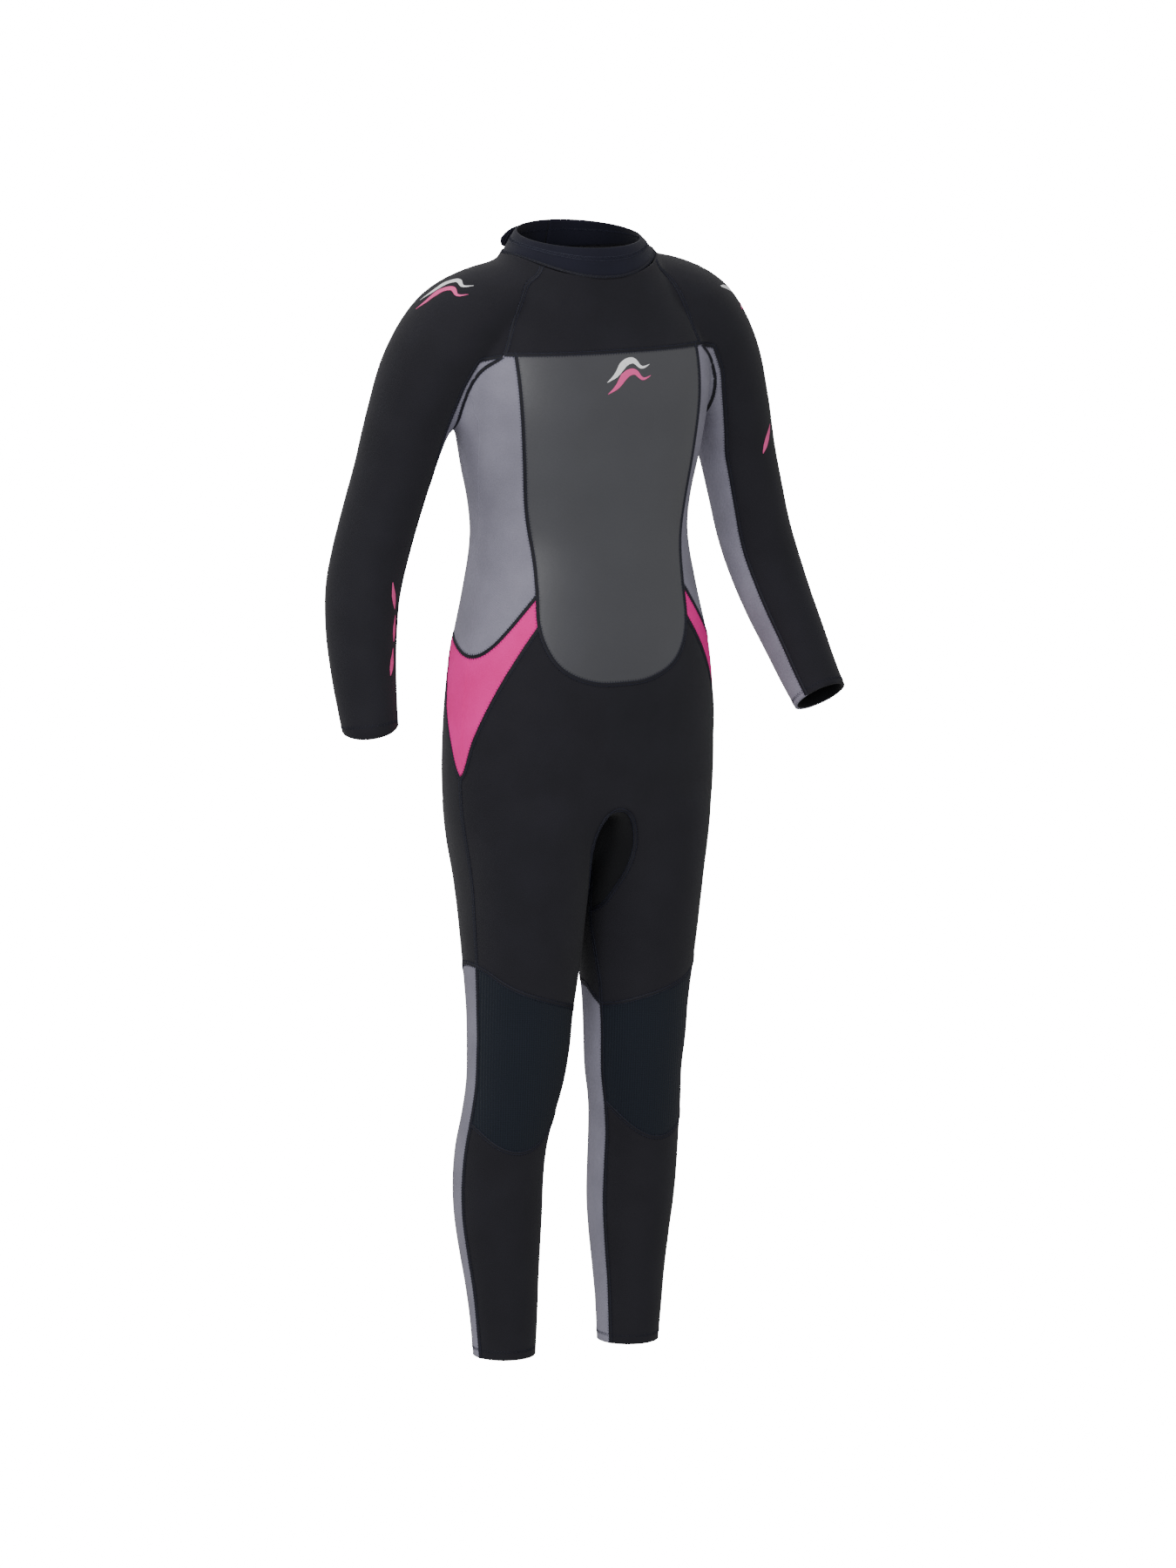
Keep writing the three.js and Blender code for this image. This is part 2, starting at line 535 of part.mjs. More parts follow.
// Zip: two tapes behind the slot, two rows of teeth, stops, slider and puller, with a flap inside
const zipTop = zAt(WAIST_BACK) + SEAM_GAP + STOP.long + STOP.above + ZIP_LENGTH;
const zipFoot = zipTop - ZIP_LENGTH;
const backFace = TORSO_FORM[9][3] * GIRTH;
const layer = (near, far) => torso(near).subtract(torso(far)).subtract(aboveNeck.translate([0, 0, -1]));
const tapes = layer(TAPE_DEPTH, TAPE_DEPTH + TAPE);
const tapeFoot = zAt(WAIST_BACK) + SEAM_GAP;
const toothFace = backFace + TEETH.proud;
const stopY = [toothFace - STOP.thick, toothFace + STOP.proud];
const STOP_METAL = ['#2a2b30', 0.35];
for (const [hand, side] of [['right', -1], ['left', 1]]) {
  const [near, far] = [TEETH.edge + SEAM_GAP, ZIP_SLOT / 2 - SEAM_GAP];
  const strips = box(side > 0 ? near : -far, side > 0 ? far : -near, ZIP_FRONT, REACH, tapeFoot, REACH);
  node(`zip_tape_${hand}`, tapes.intersect(strips), ['#17171c', 0.8]);
  const outline = [[side * TEETH.edge, zipFoot], [side * (TEETH.edge - TEETH.cord), zipFoot]];
  const first = side > 0 ? TEETH.pitch / 4 : TEETH.pitch * 3 / 4;
  for (let z = zipFoot + first; z + TEETH.width < zipTop; z += TEETH.pitch) {
    const root = side * (TEETH.edge - TEETH.cord);
    const tip = -side * TEETH.reach;
    outline.push([root, z], [tip, z], [tip, z + TEETH.width], [root, z + TEETH.width]);
  }
  outline.push([side * (TEETH.edge - TEETH.cord), zipTop], [side * TEETH.edge, zipTop]);
  const row = prism(outline.map(([u, v]) => [-u, v]), 'y', toothFace - TEETH.thick, toothFace);
  node(`zip_teeth_${hand}`, row, ['#202127', 0.4]);
  const [inner, outer] = [side * STOP.parting, side * TEETH.edge].sort((a, b) => a - b);
  const topStop = box(inner, outer, ...stopY, zipTop + SEAM_GAP, zipTop + SEAM_GAP + STOP.long);
  node(`zip_top_stop_${hand}`, topStop, STOP_METAL, 0.4);
}
const footStop = box(-TEETH.edge, TEETH.edge, ...stopY, zipFoot - SEAM_GAP - STOP.long, zipFoot - SEAM_GAP);
node('zip_bottom_stop', footStop, STOP_METAL, 0.4);
const flapSides = box(-FLAP.wide / 2, FLAP.wide / 2, ZIP_FRONT, REACH, tapeFoot, REACH);
const flapIn = Math.max(NEOPRENE, TEETH.thick + FLAP.room) + SEAM_GAP;
const flapLayer = layer(flapIn, flapIn + FLAP.thick);
node('zip_flap', flapLayer.intersect(flapSides), BLACK);

// Slider: a plate with two side flanges over the teeth, and an arch that holds the puller
const METAL = ['#8b8d92', 0.35];
const slideZ = zipTop - SLIDER.long / 2 - 1;
const plateFoot = toothFace + SLIDER.clearance;
const plateTop = plateFoot + SLIDER.plate;
const half = SLIDER.wide / 2;
const flangeFoot = backFace - TAPE_DEPTH + SLIDER.clearance;
const channel = prism([
  [-half, flangeFoot], [-half + SLIDER.flange, flangeFoot], [-half + SLIDER.flange, plateFoot],
  [half - SLIDER.flange, plateFoot], [half - SLIDER.flange, flangeFoot], [half, flangeFoot],
  [half, plateTop], [-half, plateTop],
], 'z', slideZ - SLIDER.long / 2, slideZ + SLIDER.long / 2);
const archIn = PULLER.pin + 2 * PULLER.clearance + ARCH.room;
const archOut = archIn + ARCH.thick;
const archRoot = plateTop - ARCH.sunk;
const archSide = (hand) => [
  [archRoot, slideZ + hand * archOut], [plateTop + ARCH.foot, slideZ + hand * archOut],
  [plateTop + archOut, slideZ + hand * (archOut - ARCH.bevel)],
];
const archHole = (hand) => [
  [archRoot, slideZ + hand * archIn], [plateTop + archIn, slideZ + hand * (archIn - ARCH.slope)],
];
const arch = prism([
  ...archSide(-1), ...archSide(1).reverse(), ...archHole(1), ...archHole(-1).reverse(),
], 'x', -ARCH.half, ARCH.half);
node('zip_slider', channel.add(arch), METAL, 0.8);

// Puller: a pin through the arch, two arms beside it, and a grip that hangs against the zip
const pinY = plateTop + archIn / 2;
const pin = PULLER.pin / 2;
const gripTop = slideZ - archOut - PULLER.clearance;
const armIn = ARCH.half + PULLER.clearance;
const gripRound = PULLER.wide / 2;
const pinBar = box(-gripRound, gripRound, pinY - pin, pinY + pin, slideZ - pin, slideZ + pin);
const armBars = [box(-gripRound, -armIn, pinY - pin, pinY + pin, gripTop, slideZ),
  box(armIn, gripRound, pinY - pin, pinY + pin, gripTop, slideZ)];
const gripOutline = [];
for (let k = 0; k <= 12; k += 1) {
  const turn = Math.PI + (k / 12) * Math.PI;
  const height = slideZ - PULLER.long + gripRound + Math.sin(turn) * gripRound;
  gripOutline.push([Math.cos(turn) * gripRound, height]);
}
gripOutline.push([gripRound, gripTop + 0.01], [-gripRound, gripTop + 0.01]);
const grip = prism(gripOutline.map(([u, v]) => [-u, v]), 'y', pinY - pin, pinY + pin);
node('zip_puller', [pinBar, ...armBars].reduce((sum, part) => sum.add(part), grip), METAL, 0.8);

export default group;
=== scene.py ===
"""A child's back-zip wetsuit: its neoprene panels, flatlock seams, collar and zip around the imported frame."""
import math

import bmesh
import bpy
import numpy as np
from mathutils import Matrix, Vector
from mathutils.bvhtree import BVHTree


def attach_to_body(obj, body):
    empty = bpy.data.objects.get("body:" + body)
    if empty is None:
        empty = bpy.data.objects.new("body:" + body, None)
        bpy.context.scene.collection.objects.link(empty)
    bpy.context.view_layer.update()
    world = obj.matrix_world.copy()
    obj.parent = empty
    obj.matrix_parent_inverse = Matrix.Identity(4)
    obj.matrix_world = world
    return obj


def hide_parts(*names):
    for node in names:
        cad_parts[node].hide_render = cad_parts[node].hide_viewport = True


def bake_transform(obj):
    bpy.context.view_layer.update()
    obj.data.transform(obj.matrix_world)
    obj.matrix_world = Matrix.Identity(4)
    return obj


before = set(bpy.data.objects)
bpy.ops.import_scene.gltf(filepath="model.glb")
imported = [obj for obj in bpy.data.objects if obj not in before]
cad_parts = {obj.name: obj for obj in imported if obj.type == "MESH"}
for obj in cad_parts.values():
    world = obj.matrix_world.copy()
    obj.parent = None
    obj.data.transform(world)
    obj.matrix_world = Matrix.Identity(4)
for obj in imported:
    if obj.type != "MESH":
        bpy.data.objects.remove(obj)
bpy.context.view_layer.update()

MM = 0.001
LEG_LENGTH = 530
TORSO_LENGTH = 620
HANGER_DROP = 30
ORIGIN_HEIGHT = LEG_LENGTH + TORSO_LENGTH - HANGER_DROP
NEOPRENE = 3
HEM = 11
VOXEL = 4            # grain of the form before it is smoothed
BEYOND = 24          # the limbs are built this much too long, and cut to length
TORSO_RINGS = 72
LIMB_RINGS = 64
TORSO_ROUND = 96     # points round a ring
LIMB_ROUND = 64
BAND_WIDTH = 4.2     # flatlock seam, and the zigzag over it
LADDER = 6.6
BAND_RISE = 0.5
STITCH = 1.5         # step of the zigzag along a seam
THREAD = 0.3         # radius
FOLD_WIDTH = 1.6     # join of two halves in one colour
FOLD_RISE = 0.35
NECK_BAND = 3.4      # seam at the collar's foot
SIDES = {"right": -1, "left": 1}

COLLAR_BASE = {"side": 80, "front": 67, "back": 75}
COLLAR_RIM = {"side": 66, "front": 60, "back": 64}
COLLAR_RISE = 17
COLLAR_TILT = 0.15
NECK_DIP = {"front": 22, "back": 4}
NECK_RISE = 4

# Torso: height, half width, depth to the front, depth to the back, squareness
TORSO_FORM = [
    [524, 100, 52, 62, 2.2], [545, 138, 70, 84, 2.2], [575, 146, 84, 94, 2.3], [610, 148, 88, 98, 2.3],
    [650, 148, 90, 96, 2.3], [700, 146, 92, 90, 2.3], [750, 140, 91, 83, 2.3], [805, 128, 86, 82, 2.2],
    [859, 119, 82, 82, 2.1], [900, 121, 84, 82, 2.15], [950, 131, 88, 82, 2.3], [1000, 139, 90, 82, 2.4],
    [1040, 141, 84, 82, 2.4], [1075, 132, 74, 82, 2.3], [1105, 114, 68, 82, 2.2], [1130, 96, 66, 80, 2.1],
    [1155, 80, 66, 74, 2.1], [1200, 66, 66, 66, 2],
]
# Leg: height, centre across, centre in depth, half width, half depth
LEG_FORM = [
    [-1, 74, 28, 32.5, 33], [41, 75, 28, 35, 36.5], [77, 76, 30, 38, 40], [114, 77.5, 32, 42, 44.5],
    [150, 79, 32, 45.5, 48], [186, 80, 30, 46.5, 50], [223, 79, 25, 47, 50], [259, 75, 16, 48, 51],
    [295, 70, 10, 50.5, 53], [332, 69, 5, 53, 56], [368, 68.5, 3, 54.5, 59], [409, 68, 1, 58, 66],
    [447, 68, 0, 61, 73], [477, 68, 0, 63, 79], [511, 68, 1, 66, 87], [550, 69, 3, 72, 91],
    [590, 69, 4, 75, 92],
]
# Arm: centre across, centre in depth, height, half width across the bend, half depth along it
ARM_FORM = [
    [58, 4, 1112, 36, 46], [98, 7, 1104, 43, 55], [136, 11, 1080, 49, 57], [166, 16, 1038, 48, 53],
    [187, 21, 985, 43.5, 46.5], [202, 26, 935, 39.5, 43.5], [215, 30, 890, 38.5, 42.5],
    [226, 32, 850, 38.5, 41], [236, 28, 815, 38, 39.5], [245, 14, 776, 36, 37.5], [253, -6, 738, 33, 35],
    [259, -25, 705, 30.5, 32], [264, -42, 679, 28.5, 30],
]
RIGHT_ARM_FROM = 0.68
RIGHT_ARM_MOVE = (-17, 34, 2)   # of the right arm's end: in, back and down
# Seams as [across, in depth, height] on one side, or as two of these
RAGLAN = [[60, 1178], [68, 1141], [83, 1126], [98, 1098], [107, 1074], [115, 1057], [132, 1043],
          [142, 1026], [147, 1006], [147, 980], [143, 950], [155, 900], [165, 700], [170, 400]]
CHEST_EDGE = [[105, 1058], [103, 1000], [94, 910], [86, 855], [85, 818], [86, 783], [81, 760], [70, 741],
              [52, 728], [26, 720], [0, 719]]
BACK_EDGE = [[112, 1057], [103, 1000], [94, 900], [90, 820], [88, 748]]
HIP_TOP = [[85, -72, 818], [112, -57, 779], [128, -45, 758], [139, -30, 748], [143, -8, 750], [140, 24, 766]]
HIP_FOOT = [[86, -74, 783], [103, -66, 754], [126, -52, 709], [141, -34, 663], [147, -15, 621],
            [147, 13, 675], [144, 21, 710], [142, 25, 748], [140, 30, 785]]
SIDE_LINE = [[-28, 975], [-2, 864], [-18, 759], [-15, 621], [-14, 560], [-13, 500], [-12, 440], [-9, 400],
             [-6, 368], [-4, 332], [6, 270], [18, 210], [23, 160], [23, 110], [21, 60], [21, -30]]
GUSSET = [[0, 588], [12, 583], [21, 567], [25, 545], [22, 520], [15, 495], [10, 478], [0, 458]]
KNEE_TOP = [[-2, 366], [19, 372], [45, 382], [70, 390], [95, 399], [112, 409], [124, 421], [150, 445]]
KNEE_FOOT = [[-2, 300], [20, 278], [34, 258], [50, 240], [68, 228], [86, 225], [104, 231], [118, 245],
             [134, 274]]
CHEST_TOP = 1058
WAIST_BACK = 748
INNER_STRIP = 11     # the calf panel's extra width on the inside of the leg
WAIST_RISE = 18      # of the side panel's foot at the side, over the back's
WAIST_TURN = 24      # depth where the back's waist seam begins
HIP_REACH = 44       # the hip panel's furthest place to the back, and its nearest to the middle
HIP_FROM = 60
CROTCH_DEPTH = 30    # of the gusset behind its seam
CROTCH_SLOPE = 15
GUSSET_FOOT = 440
HIP_VIEW = (0.77, -0.64)
UNDER_FRONT = [[0, 96], [0.25, 112], [0.4, 134], [0.6, 140], [0.8, 142], [1, 144]]
UNDER_BACK = [[0, 262], [0.25, 255], [0.4, 262], [0.6, 280], [0.8, 300], [1, 318]]


# --- Form -----------------------------------------------------------------------------------------

def at(x, y, height):
    """A place in pattern millimetres as a point of the frame, in metres."""
    return Vector((x, y, height - ORIGIN_HEIGHT)) * MM


def row_at(table, share):
    """A row part way along a table, on a smooth curve through its rows."""
    last = len(table) - 1
    place = min(max(share, 0), 1) * last
    k = min(int(place), last - 1)
    t = place - k
    a, b, c, d = (np.array(table[i], float) for i in (max(k - 1, 0), k, k + 1, min(k + 2, last)))
    return b + 0.5 * t * (c - a + t * (2 * a - 5 * b + 4 * c - d + t * (3 * (b - c) + d - a)))


def rounded(angle, n):
    """A point of a rounded square: n = 2 is a circle, and more is squarer."""
    c, s = math.cos(angle), math.sin(angle)
    size = (abs(c) ** n + abs(s) ** n) ** (-1 / n)
    return c * size, s * size


def loft(bm, rings):
    """A closed tube through rings of points, made of circles joined by bridges."""
    loops = []
    for ring in rings:
        made = bmesh.ops.create_circle(bm, segments=len(ring), radius=1)["verts"]
        for vertex, place in zip(made, ring):
            vertex.co = place
        loops.append(made)
    edges = list(bm.edges)
    for lower, upper in zip(loops, loops[1:]):
        both = set(lower) | set(upper)
        bmesh.ops.bridge_loops(bm, edges=[e for e in edges if set(e.verts) <= both])
    for end in (set(loops[0]), set(loops[-1])):
        bmesh.ops.contextual_create(bm, geom=[e for e in edges if set(e.verts) <= end])


def turns(count):
    return [2 * math.pi * k / count for k in range(count)]


def torso_rings():
    for k in range(TORSO_RINGS + 1):
        height, half, front, back, n = row_at(TORSO_FORM, k / TORSO_RINGS)
        ring = []
        for turn in turns(TORSO_ROUND):
            c, s = rounded(turn, n)
            ring.append(at(c * half, s * (front if s < 0 else back), height))
        yield ring


def leg_ring(side, across, deep, half, depth, height, count):
    return [at(side * across + math.cos(t) * half, deep + math.sin(t) * depth, height) for t in turns(count)]


def leg_rings(side):
    for k in range(-1, LIMB_RINGS + 1):
        height, across, deep, half, depth = row_at(LEG_FORM, k / LIMB_RINGS)
        height -= BEYOND if k < 0 else 0
        yield leg_ring(side, across, deep, half, depth, height, LIMB_ROUND)


def arm_row(side, share):
    """The arm's form at a share of its length. The right forearm hangs straighter than the left."""
    row = row_at(ARM_FORM, share)
    if side < 0:
        bend = (max(share - RIGHT_ARM_FROM, 0) / (1 - RIGHT_ARM_FROM)) ** 1.5
        row[:3] += np.array(RIGHT_ARM_MOVE) * bend
    return row


def arm_frame(side, share):
    """The arm's centre, half sizes and own directions: to the wearer's left, to the front and along it."""
    across, deep, height, half, depth = arm_row(side, share)
    ends = [arm_row(side, end) for end in (min(share, 1) - 0.01, min(share + 0.01, 1))]
    before, after = (at(side * row[0], row[1], row[2]) for row in ends)
    along = (after - before).normalized()
    front = (Vector((0, -1, 0)) + along * along.y).normalized()
    out = front.cross(along).normalized()
    return at(side * across, deep, height), half * MM, depth * MM, out, front, along


def arm_ring(frame_there, count, further=0):
    centre, half, depth, out, front, along = frame_there
    centre = centre + along * (further * MM)
    return [centre + out * (math.cos(t) * half) + front * (math.sin(t) * depth) for t in turns(count)]


def arm_rings(side):
    for k in range(LIMB_RINGS + 2):
        frame_there = arm_frame(side, min(k / LIMB_RINGS, 1))
        yield arm_ring(frame_there, LIMB_ROUND, BEYOND if k > LIMB_RINGS else 0)


def new_object(name, bm):
    mesh = bpy.data.meshes.new(name)
    bm.to_mesh(mesh)
    bm.free()
    for polygon in mesh.polygons:
        polygon.use_smooth = True
    made = bpy.data.objects.new(name, mesh)
    bpy.context.scene.collection.objects.link(made)
    return made


def applied(thing):
    """A mesh of the object with its modifiers applied, in place of the object."""
    bpy.context.view_layer.update()
    evaluated = thing.evaluated_get(bpy.context.evaluated_depsgraph_get())
    mesh = bpy.data.meshes.new_from_object(evaluated)
    bpy.data.objects.remove(thing)
    return mesh


def body_mesh():
    """The whole outer form as one surface, smoothed where the limbs meet the trunk."""
    bm = bmesh.new()
    loft(bm, list(torso_rings()))
    forms = [new_object("form", bm)]
    for side in SIDES.values():
        for rings in (leg_rings(side), arm_rings(side)):
            bm = bmesh.new()
            loft(bm, list(rings))
            forms.append(new_object("form", bm))
    bm = bmesh.new()
    for form in forms:
        bm.from_mesh(form.data)
        bpy.data.objects.remove(form)
    bmesh.ops.recalc_face_normals(bm, faces=bm.faces)
    whole = new_object("skin_form", bm)
    remesh = whole.modifiers.new("Remesh", "REMESH")
    remesh.mode = "VOXEL"
    remesh.voxel_size = VOXEL * MM
    mesh = applied(whole)
    bm = bmesh.new()
    bm.from_mesh(mesh)
    bpy.data.meshes.remove(mesh)
    return bm


def coordinates(bm):
    """Vertex places in pattern millimetres."""
    places = np.array([v.co[:] for v in bm.verts]) / MM
    places[:, 2] += ORIGIN_HEIGHT
    return places


SOFT_PLACES = [  # where the limbs meet: across, in depth, height, reach, rounds
    (142, 10, 985, 60, 60), (110, 10, 1130, 60, 40), (0, 10, 555, 90, 70), (120, 0, 545, 70, 60),
    (60, 70, 545, 80, 60), (60, -70, 545, 80, 60),
]


def relax(bm):
    """Smooths the surface: lightly everywhere, and well where the limbs join."""
    def smooth(verts):
        bmesh.ops.smooth_vert(bm, verts=verts, factor=0.5, use_axis_x=True, use_axis_y=True, use_axis_z=True)

    for _ in range(3):
        smooth(bm.verts)
    places = coordinates(bm)
    verts = list(bm.verts)
    for across, deep, height, reach, rounds in SOFT_PLACES:
        gap = places - np.array([across, deep, height])
        gap[:, 0] = np.abs(places[:, 0]) - across
        distance = np.linalg.norm(gap, axis=1)
        for step in range(rounds):
            edge = reach * (1 - step / rounds * 0.6)
            if step % 10 == 0:
                near = [verts[i] for i in np.flatnonzero(distance < edge)]
            smooth(near)


def set_back(bm):
    """Sets the gusset back between the thighs, behind the rounded top of its seam."""
    places = coordinates(bm)
    x, y, z = places.T
    front = (y < -5) & (z > GUSSET_FOOT) & (z < FORK)
    for vertex, within, reached in zip(bm.verts, in_gusset(x, z), front):
        if reached and within > 0:
            share = min(within / CROTCH_SLOPE, 1)
            vertex.co.y += CROTCH_DEPTH * MM * share * share * (3 - 2 * share)


# --- Seam fields: each is positive on one side of a seam --------------------------------------------

def fine(points, steps=8):
    """A smooth line through points, as arrays of its columns."""
    count = steps * (len(points) - 1)
    return np.array([row_at(points, k / count) for k in range(count + 1)]).T


def line(points, flip=False):
    """A function over the first column of a seam table, or over its second."""
    columns = fine(points)
    key, value = (columns[-1], columns[0]) if flip else (columns[0], columns[-1])
    order = np.argsort(key)
    return lambda place: np.interp(place, key[order], value[order])


def inside(outline):
    """Signed distance to a closed outline in two dimensions, positive inside."""
    corners = np.array(outline, float)
    following = np.roll(corners, -1, axis=0)

    def field(u, v):
        point = np.stack([u, v], axis=1)
        best = np.full(len(point), 1e9)
        odd = np.zeros(len(point), bool)
        for start, end in zip(corners, following):
            way = end - start
            share = np.clip(((point - start) @ way) / max(way @ way, 1e-9), 0, 1)
            best = np.minimum(best, np.linalg.norm(point - start - share[:, None] * way, axis=1))
            crosses = (start[1] > v) != (end[1] > v)
            with np.errstate(divide="ignore", invalid="ignore"):
                odd ^= crosses & (u < start[0] + (v - start[1]) * way[0] / way[1])
        return np.where(odd, best, -best)
    return field


def mirrored(points):
    """A closed outline from one that starts or ends on the centre line."""
    columns = fine(points).T
    return list(columns) + [[-x, z] for x, z in columns[::-1] if abs(x) > 0.01]


def flank(x, y):
    """Distance round the hip, seen along the hip panels' own direction."""
    return -HIP_VIEW[1] * np.abs(x) + HIP_VIEW[0] * y


raglan_at = line(RAGLAN, flip=True)
back_edge_at = line(BACK_EDGE, flip=True)
side_line_at = line(SIDE_LINE, flip=True)
knee_top_at = line(KNEE_TOP)
knee_foot_at = line(KNEE_FOOT)
hip_top_at = line([[flank(x, y), z] for x, y, z in HIP_TOP])
hip_foot_at = line([[flank(x, y), z] for x, y, z in HIP_FOOT])
in_chest = inside(mirrored(CHEST_EDGE))
in_gusset = inside(mirrored(GUSSET))


def sleeve_field(p):
    return np.abs(p[:, 0]) - raglan_at(p[:, 2])


def arm_coordinates(p, samples=240):
    """Share along the arm, turn in degrees (0 out, 90 front, 180 in, 270 back) and radius of each place."""
    found = np.zeros((3, len(p)))
    for side in SIDES.values():
        near = (sleeve_field(p) > -8) & (p[:, 0] * side > 0)
        if near.any():
            found[:, near] = near_arm(p[near], side, samples)
    return found


def near_arm(p, side, samples):
    """The same for places that are all near one arm."""
    points = p.copy()
    points[:, 2] -= ORIGIN_HEIGHT
    frames = [arm_frame(side, k / samples) for k in range(samples + 1)]
    centres = np.array([f[0][:] for f in frames]) / MM
    nearest = np.concatenate([
        np.argmin(((block[:, None] - centres[None]) ** 2).sum(axis=2), axis=1)
        for block in np.array_split(points, max(1, len(points) // 4000))
    ])
    outs, fronts, alongs = (np.array([f[i][:] for f in frames])[nearest] for i in (3, 4, 5))
    spoke = points - centres[nearest]
    ahead = (spoke * alongs).sum(axis=1)
    outwards = (spoke * outs).sum(axis=1) * side
    turn = np.degrees(np.arctan2((spoke * fronts).sum(axis=1), outwards)) % 360
    step = np.linalg.norm(np.diff(centres, axis=0), axis=1).mean()
    return (nearest + ahead / step) / samples, turn, np.linalg.norm(spoke, axis=1)


ZIP_SLOT = 24
HIPS = 500           # heights that bound the seams: below them are the legs
FORK = 600
BUST = 1000
NECK_FROM = 1100
ANKLE_TO = 60
WRIST_REACH = 70     # round the wrist's centre
CUT_ROOM = 0.01
BACK_ONLY = 1040     # behind the shoulders there is only the back panel
ON_ZERO = 1e-4
PANELS = ["slot", "sleeve_outer", "sleeve_under", "yoke", "chest", "back", "side_front", "side_back",
          "hip_front", "hip_back", "gusset", "front", "seat", "knee_pad", "knee_back", "shin", "calf"]


def sleeve_seams(p):
    """The sleeves' seams: the raglan line, and the front and back edges of the under panel."""
    x, z = np.abs(p[:, 0]), p[:, 2]
    share, turn, radius = arm_coordinates(p)
    sleeve = sleeve_field(p)
    on_arm = sleeve > -6
    under_front, under_back = (
        (turn - np.interp(share, *np.array(edge).T)) * np.radians(radius)
        for edge in (UNDER_FRONT, UNDER_BACK))
    top = CHEST_TOP - 1 - 0.2 * (x - 112) - z
    return {
        "sleeve": (sleeve, z > HIPS),
        "under_front": (np.minimum(under_front, top), on_arm & (turn > 30) & (turn < 210)),
        "under_back": (under_back, on_arm & (turn > 190) & (turn < 350)),
    }


def trunk_seams(p):
    """The seams of the body and the legs."""
    across, y, z = p.T
    x = np.abs(across)
    trunk = sleeve_field(p) < 0
    front, back = trunk & (y < 0), trunk & (y > 0)
    u = flank(x, y)
    inner = np.clip((72 - x) / 36, 0, 1) * np.clip((455 - z) / 60, 0, 1)
    side = y - side_line_at(z) + INNER_STRIP * inner
    knee = z - knee_top_at(x) - 0.8 * inner * np.clip(side, 0, 24)
    rise = WAIST_RISE * np.clip((64 - y) / 40, 0, 1)
    waist = np.where(y > WAIST_TURN, WAIST_BACK + rise, hip_top_at(u))
    hip = trunk & (y < HIP_REACH) & (z > FORK) & (z < 830) & (x > HIP_FROM)
    return {
        "chest_top": (z - CHEST_TOP, front & (z > BUST)),
        "chest": (in_chest(across, z), front & (z < 1075) & (z > 700)),
        "back_edge": (x - back_edge_at(z), back & (z > WAIST_BACK - 8) & (z < 1090)),
        "slot": (x - ZIP_SLOT / 2, back & (z > WAIST_BACK - 8)),
        "waist": (z - waist, trunk & (z > FORK) & (z < 900)),
        "hip_foot": (z - hip_foot_at(u), hip),
        "gusset": (in_gusset(across, z), trunk & (side < 8) & (z < 620) & (z > GUSSET_FOOT)),
        "side": (side, trunk & (z < 985)),
        "knee_top": (knee, z < HIPS),
        "knee_foot": (z - knee_foot_at(x), z < HIPS),
    }


def split(bm, value, where, steepest=math.inf, shortest=0.0):
    """Splits the faces along the line where a vertex value passes zero."""
    value = np.where(np.abs(value) < ON_ZERO, ON_ZERO, value)
    bm.verts.index_update()
    crossing = []
    for edge in bm.edges:
        start, end = (v.index for v in edge.verts)
        opposite = (value[start] < 0) != (value[end] < 0)
        if where[start] and where[end] and opposite and abs(value[start] - value[end]) < steepest:
            share = abs(value[start]) / (abs(value[start]) + abs(value[end]))
            crossing.append((edge, edge.verts[0], min(max(share, shortest), 1 - shortest)))
    new = [bmesh.utils.edge_split(edge, vertex, share)[1] for edge, vertex, share in crossing]
    bmesh.ops.connect_verts(bm, verts=new)


def cut_all(bm):
    """Splits the faces along every seam."""
    for seams in (sleeve_seams, trunk_seams):
        for name in seams(coordinates(bm)[:2]):
            value, where = seams(coordinates(bm))[name]
            split(bm, value, where, steepest=6 * VOXEL, shortest=0.02)


def classify(bm):
    """The panel of each face."""
    bm.faces.ensure_lookup_table()
    p = np.array([f.calc_center_median()[:] for f in bm.faces]) / MM
    p[:, 2] += ORIGIN_HEIGHT
    x, y, z = np.abs(p[:, 0]), p[:, 1], p[:, 2]
    f = {name: value > 0 for name, (value, _) in {**sleeve_seams(p), **trunk_seams(p)}.items()}
    front, back = y < 0, y > 0
    sleeve = f["sleeve"] & (z > HIPS)
    under = f["under_front"] & ~f["under_back"]
    before = ~f["side"]
    flanks = f["waist"]
    pink = ~flanks & f["hip_foot"] & (y < HIP_REACH) & (x > HIP_FROM) & (z > FORK)
    gusset = f["gusset"] & before
    above_knee = f["knee_top"] | (z >= HIPS)
    slot = ~f["slot"] & back & (z > WAIST_BACK)
    conditions = [
        slot, sleeve & under, sleeve, f["chest_top"] & front, f["chest"] & front,
        flanks & back & ~f["back_edge"], flanks & front & (z > CHEST_TOP),
        flanks & before, flanks, pink & before, pink, gusset,
        above_knee & before, above_knee,
        f["knee_foot"] & before, f["knee_foot"], before,
    ]
    names = ["slot", "sleeve_under", "sleeve_outer", "yoke", "chest",
             "back", "yoke",
             "side_front", "side_back", "hip_front", "hip_back", "gusset",
             "front", "seat",
             "knee_pad", "knee_back", "shin"]
    panel = np.select(conditions, [PANELS.index(n) for n in names], PANELS.index("calf"))
    panel[(z > BACK_ONLY) & ~sleeve & back & ~slot] = PANELS.index("back")
    return panel


